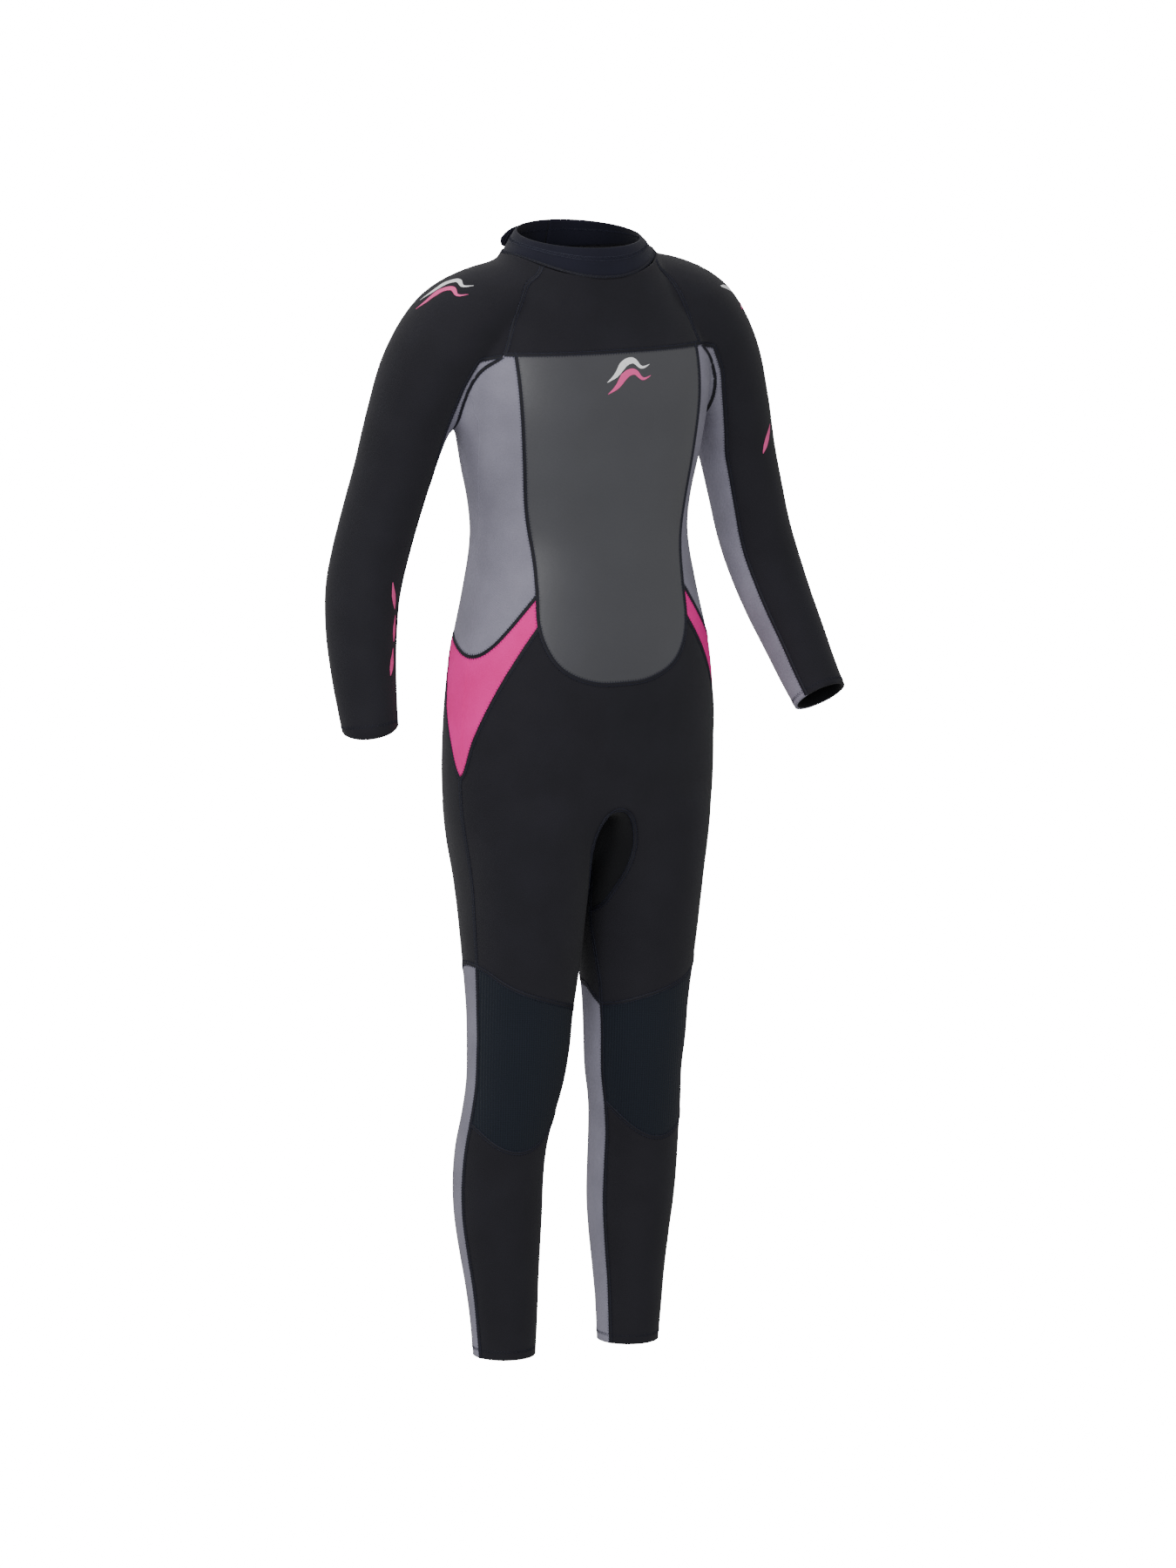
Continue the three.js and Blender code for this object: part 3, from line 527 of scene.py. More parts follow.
def trim(bm):
    """Cuts the neck, ankles and wrists to length and takes away what is beyond."""
    def cut_off(beyond, near):
        """Cuts where a height over the cut passes zero, and deletes what is over it."""
        p = coordinates(bm)
        split(bm, beyond(p), near(p))
        p = coordinates(bm)
        over = (beyond(p) > CUT_ROOM) & near(p)
        verts = list(bm.verts)
        bmesh.ops.delete(bm, geom=[verts[i] for i in np.flatnonzero(over)], context="VERTS")

    cut_off(lambda p: p[:, 2] - neck_height(p[:, 1]), lambda p: p[:, 2] > NECK_FROM)
    cut_off(lambda p: -p[:, 2], lambda p: p[:, 2] < ANKLE_TO)
    for side in SIDES.values():
        centre, _, _, _, _, along = arm_frame(side, 1)
        centre = np.array(centre[:]) / MM + np.array([0, 0, ORIGIN_HEIGHT])
        along = np.array(along[:])
        cut_off(lambda p: (p - centre) @ along, lambda p: np.linalg.norm(p - centre, axis=1) < WRIST_REACH)


def neck_height(depth):
    """Pattern height of the neck's cut edge at a depth."""
    share = np.where(np.asarray(depth) < 0, np.asarray(depth) / COLLAR_BASE["front"],
                     np.asarray(depth) / COLLAR_BASE["back"])
    dip = np.where(np.asarray(depth) < 0, NECK_DIP["front"], NECK_DIP["back"])
    return LEG_LENGTH + TORSO_LENGTH + NECK_RISE - dip * np.minimum(share * share, 1)


# --- Seams ----------------------------------------------------------------------------------------

def chains(bm, panel):
    """The lines between panels: for each, the pair of panels and a path of points."""
    borders = {}
    bm.faces.index_update()
    for edge in bm.edges:
        if len(edge.link_faces) != 2:
            continue
        pair = tuple(sorted(int(panel[f.index]) for f in edge.link_faces))
        if pair[0] != pair[1]:
            borders.setdefault(pair, []).append(edge)
    return [(pair, path) for pair, edges in borders.items() for path in linked(edges)]


def linked(edges):
    """Edges joined end to end into paths of points."""
    at_vertex = {}
    for edge in edges:
        for v in edge.verts:
            at_vertex.setdefault(v, []).append(edge)
    left = set(edges)
    starts = [v for v, around in at_vertex.items() if len(around) != 2] + list(at_vertex)
    paths = []
    for start in starts:
        for first in at_vertex[start]:
            if first not in left:
                continue
            path, v, edge = [start.co.copy()], start, first
            while edge in left:
                left.discard(edge)
                v = edge.other_vert(v)
                path.append(v.co.copy())
                following = [e for e in at_vertex[v] if e in left]
                if len(at_vertex[v]) != 2 or not following:
                    break
                edge = following[0]
            paths.append(path)
    return paths


def resampled(path, step):
    """Points at even steps along a path, smoothed a little, with closed paths kept closed."""
    points = np.array([p[:] for p in path])
    closed = len(points) > 3 and np.allclose(points[0], points[-1])
    along = np.concatenate([[0], np.cumsum(np.linalg.norm(np.diff(points, axis=0), axis=1))])
    count = max(int(along[-1] / step), 2)
    places = np.linspace(0, along[-1], count + 1)
    even = np.stack([np.interp(places, along, points[:, k]) for k in range(3)], 1)
    for _ in range(6):
        if closed:
            middle = (np.roll(even[:-1], 1, axis=0) + np.roll(even[:-1], -1, axis=0)) / 2
            even[:-1] = (even[:-1] + middle) / 2
            even[-1] = even[0]
        else:
            even[1:-1] = (even[1:-1] * 2 + even[:-2] + even[2:]) / 4
    return even, closed


def framed(path, step, tree):
    """Even points on the skin with the skin's normal and the direction across the path."""
    even, closed = resampled(path, step)
    normals = []
    for point in even:
        _, normal, _, _ = tree.find_nearest(Vector(point))
        normals.append(normal[:])
    normals = np.array(normals)
    for _ in range(4):
        middle = np.vstack([normals[:1], normals[:-1]]) + np.vstack([normals[1:], normals[-1:]])
        normals = normals + middle
        normals /= np.linalg.norm(normals, axis=1)[:, None]
    ahead = np.vstack([even[1:], even[-1:]]) - np.vstack([even[:1], even[:-1]])
    if closed:
        ahead[0] = ahead[-1] = even[1] - even[-2]
        normals[0] = normals[-1] = (normals[0] + normals[-1]) / np.linalg.norm(normals[0] + normals[-1])
    across = np.cross(normals, ahead)
    across /= np.maximum(np.linalg.norm(across, axis=1), 1e-9)[:, None]
    return even, normals, across


def ribbon(bm, points, normals, across, width, rise, sunk=0.25, segments=4):
    """A strip along a path: domed over its width, with its edges a little under the surface."""
    count = len(points)
    uv = bm.loops.layers.uv.verify()
    made = bmesh.ops.create_grid(bm, x_segments=count - 1, y_segments=segments, size=0.5)["verts"]
    steps = np.concatenate([[0], np.cumsum(np.linalg.norm(np.diff(points, axis=0), axis=1))])
    places = {}
    for v in made:
        i = round((v.co.x + 0.5) * (count - 1))
        share = v.co.y
        wide = width[i] if hasattr(width, "__len__") else width
        lift = rise * (1 - (2 * share) ** 4) - sunk * (2 * share) ** 4
        v.co = Vector(points[i]) + Vector(across[i]) * (share * wide * MM) + Vector(normals[i]) * (lift * MM)
        places[v] = (steps[i], share * wide * MM)
    faces = {f for v in made for f in v.link_faces}
    for face in faces:
        for loop in face.loops:
            loop[uv].uv = places[loop.vert]
    middle = next(iter(faces))
    k = min(range(count), key=lambda i: (Vector(points[i]) - middle.calc_center_median()).length)
    middle.normal_update()
    if middle.normal.dot(Vector(normals[k])) < 0:
        bmesh.ops.reverse_faces(bm, faces=list(faces))
    return faces


def zigzag(points, normals, across, width, lift):
    """The crossings of a thread that runs to and fro over a seam."""
    places = []
    for k, (point, normal, side) in enumerate(zip(points, normals, across)):
        hand = (1 if k % 2 else -1) * width / 2
        places.append(point + side * hand * MM + normal * lift * MM)
    return places


def threads(name, lines, radius):
    """Round threads along lists of points, as one mesh."""
    curve = bpy.data.curves.new(name, "CURVE")
    curve.dimensions = "3D"
    curve.bevel_depth = radius * MM
    curve.bevel_resolution = 0
    curve.use_fill_caps = True
    for places in lines:
        spline = curve.splines.new("POLY")
        spline.points.add(len(places) - 1)
        spline.points.foreach_set("co", np.hstack([np.array(places), np.ones((len(places), 1))]).ravel())
    made = bpy.data.objects.new(name, curve)
    bpy.context.scene.collection.objects.link(made)
    mesh = applied(made)
    mesh.name = name
    made = bpy.data.objects.new(name, mesh)
    bpy.context.scene.collection.objects.link(made)
    for polygon in mesh.polygons:
        polygon.use_smooth = True
    return made


# --- Materials --------------------------------------------------------------------------------------

class Value:
    """A shader socket, whose arithmetic adds Math nodes."""

    def __init__(self, shader, socket):
        self.shader, self.socket = shader, socket

    def math(self, operation, *values):
        return self.shader.node("ShaderNodeMath", {"operation": operation}, *values)

    def __add__(self, other): return self.math("ADD", self, other)
    def __sub__(self, other): return self.math("SUBTRACT", self, other)
    def __mul__(self, other): return self.math("MULTIPLY", self, other)
    def sin(self): return self.math("SINE", self)
    def clamp(self, low, high): return self.math("MAXIMUM", self.math("MINIMUM", self, high), low)
    def waves(self, length):
        """A sine along the value, with a wavelength in metres."""
        return (self * (2 * math.pi / length)).sin()

    def smooth(self, low, high):
        """0 below low, 1 above high, and smooth between them."""
        return self.shader.node("ShaderNodeMapRange", {"interpolation_type": "SMOOTHSTEP"},
                                self, low, high, 0.0, 1.0)


class Shader:
    """A material around one Principled BSDF, whose constant values are given by socket name."""

    def __init__(self, name, **constants):
        self.material = bpy.data.materials.new(name)
        self.material.use_nodes = True
        self.tree = self.material.node_tree
        self.surface = next(n for n in self.tree.nodes if n.type == "BSDF_PRINCIPLED")
        for socket, value in constants.items():
            self.surface.inputs[socket.replace("_", " ")].default_value = value

    def node(self, kind, settings=None, *inputs, output=0, **named):
        """A node of a type with its settings, its sockets filled in order or by name."""
        made = self.tree.nodes.new(kind)
        for key, value in (settings or {}).items():
            setattr(made, key, value)
        free = [s for s in made.inputs if s.enabled]
        pairs = list(zip(free, inputs))
        pairs += [(next(s for s in free if s.name == key.replace("_", " ")), v) for key, v in named.items()]
        for socket, value in pairs:
            if isinstance(value, Value):
                self.tree.links.new(value.socket, socket)
            else:
                socket.default_value = value
        outputs = [s for s in made.outputs if s.enabled]
        return Value(self, outputs[output])

    def feed(self, **sockets):
        for key, value in sockets.items():
            self.tree.links.new(value.socket, self.surface.inputs[key.replace("_", " ")])
        return self.material

    def place(self):
        return self.node("ShaderNodeTexCoord", output=3)

    def across(self, source=None):
        """The three parts of a place, each a value."""
        source = source or self.place()
        made = self.node("ShaderNodeSeparateXYZ", None, source)
        return [Value(self, s) for s in made.socket.node.outputs]

    def noise(self, scale, detail=2.0):
        return self.node("ShaderNodeTexNoise", None, Vector=self.place(), Scale=scale, Detail=detail)

    def mix(self, share, first, second):
        return self.node("ShaderNodeMix", {"data_type": "RGBA"}, share, first, second)

    def bump(self, height, distance):
        return self.node("ShaderNodeBump", None, Height=height, Distance=distance, Strength=1.0)


def rgb(red, green, blue):
    return (red, green, blue, 1.0)


def shaded(colour, factor):
    return rgb(*(min(part * factor, 1.0) for part in colour[:3]))


def jersey(name, colour, sheen=0.07, roughness=0.82):
    """Knitted nylon laminated on neoprene: a fine knit, a soft unevenness and a faint bloom."""
    shader = Shader(name, Sheen_Weight=sheen, Sheen_Roughness=0.45, Specular_IOR_Level=0.2)
    x, y, z = shader.across()
    rows = ((z * 4200).sin() * ((x + y) * 4800).sin())
    fuzz = shader.noise(1500, detail=1.0)
    soft = shader.noise(22, detail=3.0)
    tone = (soft * 0.55 + fuzz * 0.45).smooth(0.3, 0.7)
    color = shader.mix(tone, shaded(colour, 0.86), shaded(colour, 1.14))
    height = rows * 0.35 + fuzz * 0.9 + soft * 1.5
    return shader.feed(Base_Color=color, Roughness=(fuzz * 0.16 + (roughness - 0.08)),
                       Normal=shader.bump(height, 0.00012))


def smoothskin(name, colour):
    """Bare rubber with a soft shine and a very fine grain."""
    shader = Shader(name, Specular_IOR_Level=0.45, Sheen_Weight=0.05, Sheen_Roughness=0.6)
    grain = shader.noise(2400, detail=2.0)
    cloud = shader.noise(9, detail=3.0)
    tone = cloud.smooth(0.3, 0.7)
    color = shader.mix(tone, shaded(colour, 0.93), shaded(colour, 1.07))
    return shader.feed(Base_Color=color, Roughness=cloud * 0.12 + grain * 0.06 + 0.38,
                       Normal=shader.bump(grain * 0.5 + cloud * 6.0, 0.0001))


def ribbed(name, colour):
    """Hard-wearing knee fabric with fine upright ribs and a broken cross weave."""
    shader = Shader(name, Sheen_Weight=0.04, Sheen_Roughness=0.5, Specular_IOR_Level=0.22)
    x, y, z = shader.across()
    ribs = (x - y * 0.35).waves(0.0026)
    weave = z.waves(0.0017)
    fuzz = shader.noise(1300, detail=2.0)
    patch = shader.noise(30, detail=2.0).smooth(0.35, 0.65)
    tone = (ribs * (patch * 0.25 + 0.1) + weave * 0.1 + fuzz * 0.5 + 0.25).clamp(0.0, 1.0)
    color = shader.mix(tone, shaded(colour, 0.7), shaded(colour, 1.35))
    return shader.feed(Base_Color=color, Roughness=fuzz * 0.2 + 0.68,
                       Normal=shader.bump(ribs + weave * 0.3 + fuzz * 0.4, 0.0002))


def banding(name, colour):
    """A flatlock seam: rows of thread laid over a trimmed join, along the piece's own UV map."""
    shader = Shader(name, Specular_IOR_Level=0.35)
    along, over, _ = shader.across(shader.node("ShaderNodeUVMap", {"uv_map": "UVMap"}))
    slant = (along + over * 0.5).waves(0.0016)
    rows = over.waves(0.0018)
    fuzz = shader.noise(1800, detail=1.0)
    tone = (slant * 0.3 + rows * 0.2 + fuzz * 0.4 + 0.3).clamp(0.0, 1.0)
    color = shader.mix(tone, shaded(colour, 0.45), shaded(colour, 1.5))
    return shader.feed(Base_Color=color, Roughness=fuzz * 0.2 + 0.6,
                       Normal=shader.bump(slant * 0.6 + rows * 0.5 + fuzz * 0.3, 0.0004))


def thread(name, colour):
    shader = Shader(name, Specular_IOR_Level=0.4)
    twist = shader.noise(2600, detail=1.0)
    color = shader.mix(twist, shaded(colour, 0.7), shaded(colour, 1.35))
    return shader.feed(Base_Color=color, Roughness=twist * 0.3 + 0.4,
                       Normal=shader.bump(twist, 0.0002))


def printed(name, colour):
    """Screen print on the knit, with the knit showing a little through it."""
    shader = Shader(name, Specular_IOR_Level=0.4)
    fuzz = shader.noise(1400, detail=1.0)
    wear = shader.noise(260, detail=4.0)
    color = shader.mix(wear.smooth(0.62, 0.75) * 0.35, colour, shaded(colour, 0.55))
    return shader.feed(Base_Color=color, Roughness=fuzz * 0.2 + 0.4, Normal=shader.bump(fuzz, 0.0001))


def woven(name, colour, pitch=0.0009):
    """Plain weave tape."""
    shader = Shader(name, Specular_IOR_Level=0.3, Sheen_Weight=0.1)
    x, y, z = shader.across()
    weave = (x + y).waves(pitch) * z.waves(pitch)
    fuzz = shader.noise(1500, detail=1.0)
    color = shader.mix(weave * 0.4 + fuzz * 0.4 + 0.1, shaded(colour, 0.7), shaded(colour, 1.4))
    return shader.feed(Base_Color=color, Roughness=fuzz * 0.2 + 0.65,
                       Normal=shader.bump(weave + fuzz, 0.0002))


def pile(name, colour):
    """Hook and loop: a dense short pile."""
    shader = Shader(name, Sheen_Weight=0.4, Sheen_Roughness=0.6)
    tufts = shader.node("ShaderNodeTexVoronoi", None, Vector=shader.place(), Scale=900.0)
    fuzz = shader.noise(2200, detail=2.0)
    color = shader.mix(tufts * 0.9, shaded(colour, 1.5), shaded(colour, 0.5))
    return shader.feed(Base_Color=color, Roughness=fuzz * 0.2 + 0.75,
                       Normal=shader.bump(fuzz - tufts * 1.5, 0.0008))


def moulded(name, colour):
    shader = Shader(name, Specular_IOR_Level=0.5)
    grain = shader.noise(1800, detail=2.0)
    wear = shader.noise(120, detail=5.0)
    color = shader.mix(wear, shaded(colour, 0.8), shaded(colour, 1.4))
    return shader.feed(Base_Color=color, Roughness=grain * 0.15 + 0.38, Normal=shader.bump(grain, 0.0001))


def metal(name, colour):
    """Plated die casting, dulled where it is handled."""
    shader = Shader(name, Metallic=1.0)
    brushed = shader.node("ShaderNodeTexNoise", None, Scale=1.0, Detail=2.0, Vector=shader.node(
        "ShaderNodeVectorMath", {"operation": "MULTIPLY"}, shader.place(), (2400.0, 2400.0, 160.0)))
    dull = shader.noise(300, detail=4.0)
    color = shader.mix(dull.smooth(0.45, 0.7), colour, shaded(colour, 0.55))
    return shader.feed(Base_Color=color, Roughness=brushed * 0.2 + dull * 0.2 + 0.16,
                       Normal=shader.bump(brushed, 0.0001))


def backdrop(name, colour):
    """A floor that glows, so that it stays an even white behind the piece."""
    shader = Shader(name, Specular_IOR_Level=0.1, Emission_Color=rgb(1, 1, 1), Emission_Strength=FLOOR_GLOW)
    cloud = shader.noise(0.6, detail=1.0)
    color = shader.mix(cloud, shaded(colour, 0.995), colour)
    return shader.feed(Base_Color=color, Roughness=cloud * 0.05 + 0.9)


FLOOR_GLOW = 16.0
BLACK = rgb(0.0138, 0.0132, 0.0182)
GREY = rgb(0.236, 0.228, 0.288)
PINK = rgb(1.0, 0.02, 0.31)
NAVY = rgb(0.006, 0.006, 0.011)
MATERIALS = {
    "black": jersey("jersey_black", BLACK),
    "grey": jersey("jersey_grey", GREY),
    "pink": jersey("jersey_pink", PINK, sheen=0.0),
    "chest": smoothskin("smoothskin", rgb(0.056, 0.057, 0.065)),
    "knee": ribbed("knee_fabric", rgb(0.0078, 0.0112, 0.0188)),
    # a darker jersey: real lining for the zip flap, and painted shade on the crotch gusset between the thighs
    "lining": jersey("lining", rgb(0.007, 0.007, 0.009), sheen=0.1, roughness=0.9),
    "collar": jersey("collar_jersey", rgb(0.0085, 0.0088, 0.0185)),
    "band": banding("seam_band", NAVY),
    "thread": thread("thread", rgb(0.014, 0.0155, 0.034)),
    "white": printed("print_white", rgb(0.95, 0.95, 0.96)),
    "rose": printed("print_pink", rgb(0.86, 0.09, 0.32)),
    "tape": woven("zip_tape_weave", rgb(0.012, 0.012, 0.015)),
    "pile": pile("hook_loop_pile", rgb(0.012, 0.012, 0.014)),
    "teeth": moulded("zip_plastic", rgb(0.016, 0.016, 0.02)),
    "metal": metal("zip_metal", rgb(0.5, 0.5, 0.52)),
}
PANEL_MATERIALS = {
    "sleeve_outer": "black", "sleeve_under": "grey", "yoke": "black", "chest": "chest", "back": "black",
    # the gusset takes the darker lining jersey as painted shade between the thighs
    "side_front": "grey", "side_back": "grey", "hip_front": "pink", "hip_back": "pink", "gusset": "lining",
    "front": "black", "seat": "black", "knee_pad": "knee", "knee_back": "grey", "shin": "black",
    "calf": "grey", "slot": "lining",
}
SKIN_MATERIALS = ["black", "grey", "pink", "chest", "knee", "lining"]


# --- Pieces ---------------------------------------------------------------------------------------

def wear(thing, *names):
    """Gives a piece its materials."""
    if thing.data.materials:
        thing.data.materials.clear()
    for name in names:
        thing.data.materials.append(MATERIALS[name])
    return thing


def thicken(thing, thickness, **settings):
    """A Solidify modifier that works into the cloth."""
    modifier = thing.modifiers.new("Solidify", "SOLIDIFY")
    modifier.thickness = thickness * MM
    modifier.offset = -1
    for key, value in settings.items():
        setattr(modifier, key, value)
    return thing


def group_of(panel, x):
    """The group that a face of a panel moves with, by its side."""
    name = PANELS[panel]
    hand = "right" if x < 0 else "left"
    if name.startswith("sleeve"):
        return f"sleeve_{hand}"
    if name in ("knee_pad", "knee_back", "shin", "calf"):
        return f"lower_leg_{hand}"
    return "none" if name == "slot" else "trunk"


NODES = {
    "trunk": ["chest_panel", "front_yoke", "front_panel", "seat_panel", "crotch_gusset",
              *(f"{part}_{hand}" for part in ("side_panel", "hip_panel", "back_panel") for hand in SIDES)],
    **{f"sleeve_{hand}": [f"{part}_{hand}" for part in (
        "sleeve_upper_outer", "sleeve_upper_under", "elbow_outer", "elbow_under", "forearm_outer",
        "forearm_under", "wrist_hem")] for hand in SIDES},
    **{f"lower_leg_{hand}": [f"{part}_{hand}" for part in (
        "knee_pad", "knee_back", "shin_panel", "calf_panel", "ankle_hem")] for hand in SIDES},
}
ELBOW = (0.5, 0.7)
KNEE = (385, 245)


def attach(thing, group):
    """A piece of the suit with its group: the trunk's pieces are attached to the suit's body, and the limbs'
    pieces only have their transform baked in place.
    """
    if group == "trunk":
        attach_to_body(thing, "suit")
        return thing
    hand = group.rsplit("_", 1)[1]
    side = SIDES[hand]
    if group.startswith("sleeve"):
        start, end = (arm_frame(side, share)[0] for share in ELBOW)
        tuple(start[:])
        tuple(end[:])
        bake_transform(thing)
    else:
        start, end = (at(side * 70, 5, height) for height in KNEE)
        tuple(start[:])
        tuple(end[:])
        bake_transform(thing)
    return thing


def skin_pieces(bm, panel):
    """The neoprene of each group, as its own piece of real thickness."""
    bm.faces.ensure_lookup_table()
    groups = [group_of(panel[f.index], f.calc_center_median().x) for f in bm.faces]
    for face, number in zip(bm.faces, panel):
        face.material_index = SKIN_MATERIALS.index(PANEL_MATERIALS[PANELS[number]])
    for group, nodes in NODES.items():
        part = bm.copy()
        part.faces.ensure_lookup_table()
        bmesh.ops.delete(part, geom=[f for f, g in zip(part.faces, groups) if g != group], context="FACES")
        area = sum(f.calc_area() for f in part.faces)
        heights = [v.co.z for v in part.verts]
        length = max(heights) - min(heights)
        skin = thicken(new_object(f"{group}_neoprene", part), NEOPRENE, material_offset=len(SKIN_MATERIALS))
        wear(skin, *SKIN_MATERIALS)
        attach(skin, group)
        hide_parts(*nodes)
        flat = (round(area / length + 0.002, 3), round(length, 3))
        yield group


FOLDS = {("side_front", "side_back"): "grey", ("hip_front", "hip_back"): "pink"}   # joined edge to edge
PLAIN = ("knee_back", "calf")                                                      # one cloth, no seam


def seam_pieces(bm, panel, tree):
    """A domed band and a zigzag of thread on each seam, gathered in the groups that they move with."""
    bands = {group: bmesh.new() for group in [*NODES, *FOLDS.values()]}
    lines = {group: [] for group in NODES}
    for pair, path in chains(bm, panel):
        names = tuple(PANELS[k] for k in pair)
        middle = path[len(path) // 2]
        groups = {group_of(k, middle.x) for k in pair} - {"none"}
        group = "trunk" if "trunk" in groups else groups.pop()
        points, normals, across = framed(path, STITCH * MM, tree)
        if len(points) < 5 or names == PLAIN:
            continue
        if names in FOLDS:
            ribbon(bands[FOLDS[names]], points, normals, across, FOLD_WIDTH, FOLD_RISE)
            continue
        ribbon(bands[group], points, normals, across, BAND_WIDTH, BAND_RISE)
        lines[group].append(zigzag(points, normals, across, LADDER, BAND_RISE * 0.3))
        for hand in (-1, 1):
            shift = across * (hand * BAND_WIDTH * 0.36 * MM)
            lines[group].append(list(points + shift + normals * (BAND_RISE * 0.8) * MM))
    return bands, lines


ARM_LENGTH = 520
ANKLE_SHARE = 0.04   # the row of the leg's table at the ankle


def hem_lines(tree, lines):
    """Coverstitch a hem's width above each cut end."""
    _, across, deep, half, depth = row_at(LEG_FORM, ANKLE_SHARE)
    for hand, side in SIDES.items():
        wrist = arm_ring(arm_frame(side, 1 - HEM / ARM_LENGTH), 72)
        stitched(wrist, tree, lines[f"sleeve_{hand}"])
        ankle = leg_ring(side, across, deep, half, depth, HEM - 2, 72)
        stitched(ankle, tree, lines[f"lower_leg_{hand}"])


def stitched(ring, tree, lines, width=3.2):
    """A closed zigzag round a ring of points laid on the skin."""
    laid = [tree.find_nearest(p)[0] for p in ring]
    points, normals, across = framed(laid + laid[:1], STITCH * 1.1 * MM, tree)
    lines.append(zigzag(points, normals, across, width, 0.2))


def collar_at(turn, share, offset):
    """A point of the collar: turn round the neck, share from foot to rim, offset out of its face."""
    c, s = math.cos(turn), math.sin(turn)
    key = "front" if s < 0 else "back"

    def part(name):
        return COLLAR_BASE[name] + (COLLAR_RIM[name] - COLLAR_BASE[name]) * share

    foot = float(neck_height(s * (COLLAR_BASE[key] + offset))) + 0.2
    rim = LEG_LENGTH + TORSO_LENGTH + NECK_RISE + COLLAR_RISE + COLLAR_TILT * s * COLLAR_RIM[key]
    return at(c * (part("side") + offset), s * part(key) + s * offset, foot + (rim - foot) * share)


def section_strip(name, count, around, place):
    """A closed band: place(share along, angle round its section) gives its points."""
    bm = bmesh.new()
    made = bmesh.ops.create_grid(bm, x_segments=count, y_segments=around, size=0.5)["verts"]
    for v in made:
        v.co = place(v.co.x + 0.5, (v.co.y + 0.5) * 2 * math.pi)
    bmesh.ops.remove_doubles(bm, verts=bm.verts, dist=1e-6)
    bmesh.ops.holes_fill(bm, edges=[e for e in bm.edges if e.is_boundary], sides=0)
    bmesh.ops.recalc_face_normals(bm, faces=bm.faces)
    return new_object(name, bm)


def section(angle, thickness, low, high, squareness=5):
    """Share up the collar and offset of a point on a rounded section."""
    u, w = rounded(angle, squareness)
    return (low + high) / 2 + w * (high - low) / 2, thickness * u


def back_turn(across):
    return math.acos(across / COLLAR_BASE["side"])


COLLAR_ZIGZAG = 0.63   # share up the collar
COLLAR_ROWS = (0.57, 0.69)
COLLAR_SPLIT = 8
TAB_REACH = (19, -56)
TAB_FACE = (2.9, 5.9)
TIP_LIFT = 6
TIP_FROM = 0.82      # share of the tab where its rounded end starts
PATCHES = [("loop_patch", (0.3, 1.3), "suit"), ("hook_patch", (1.6, 2.6), "collar_closure")]


def collar():
    """The collar band, its zigzag stitching inside and out, and the seam that joins it to the neck."""
    gap = back_turn(0.4) - math.pi / 2
    start, end = math.pi / 2 - gap - 2 * math.pi, math.pi / 2 + gap

    def place(along, angle):
        share, offset = section(angle, NEOPRENE / 2, 0.0, 1.0)
        return collar_at(start + (end - start) * along, share, offset - NEOPRENE / 2)

    band = wear(section_strip("collar_neoprene", 180, 28, place), "collar")
    stitches = []
    for face in (0.12, -NEOPRENE - 0.12):
        row = []
        for k in range(330):
            turn = start + (end - start) * (k + 0.5) / 330
            row.append(collar_at(turn, COLLAR_ZIGZAG + (0.04 if k % 2 else -0.04), face))
        stitches.append([p[:] for p in row])
    for share in COLLAR_ROWS:
        stitches.append([collar_at(start + (end - start) * k / 200, share, 0.1)[:] for k in range(201)])
    sewn = wear(threads("collar_thread", stitches, THREAD), "thread")
    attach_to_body(band, "suit")
    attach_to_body(sewn, "suit")
    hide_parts("collar_band")


def neck_seam(bands, lines):
    """The flatlock seam at the collar's foot, on the trunk."""
    points, normals, across = [], [], []
    for k in range(301):
        turn = math.pi / 2 + 2 * math.pi * k / 300
        low, high = collar_at(turn, -0.05, 0.2), collar_at(turn, 0.09, 0.2)
        point = collar_at(turn, 0.02, 0.2)
        side = (high - low).normalized()
        ahead = collar_at(turn + 0.01, 0.02, 0.2) - collar_at(turn - 0.01, 0.02, 0.2)
        points.append(point[:])
        across.append(side[:])
        normals.append(ahead.cross(side).normalized()[:])
    points, normals, across = map(np.array, (points, normals, across))
    if normals[0][1] < 0:
        normals = -normals
    ribbon(bands["trunk"], points, normals, across, NECK_BAND, 0.7, sunk=0.5)
    lines["trunk"].append(zigzag(points, normals, across, 2.6, 0.75))


def tab_half(along, full, least):
    """Half the tab's height as a share of the collar's, rounded off towards the tip."""
    near_tip = max(0.0, (along - TIP_FROM) / (1 - TIP_FROM))
    return full * math.sqrt(max(1 - near_tip ** 2.4, least))


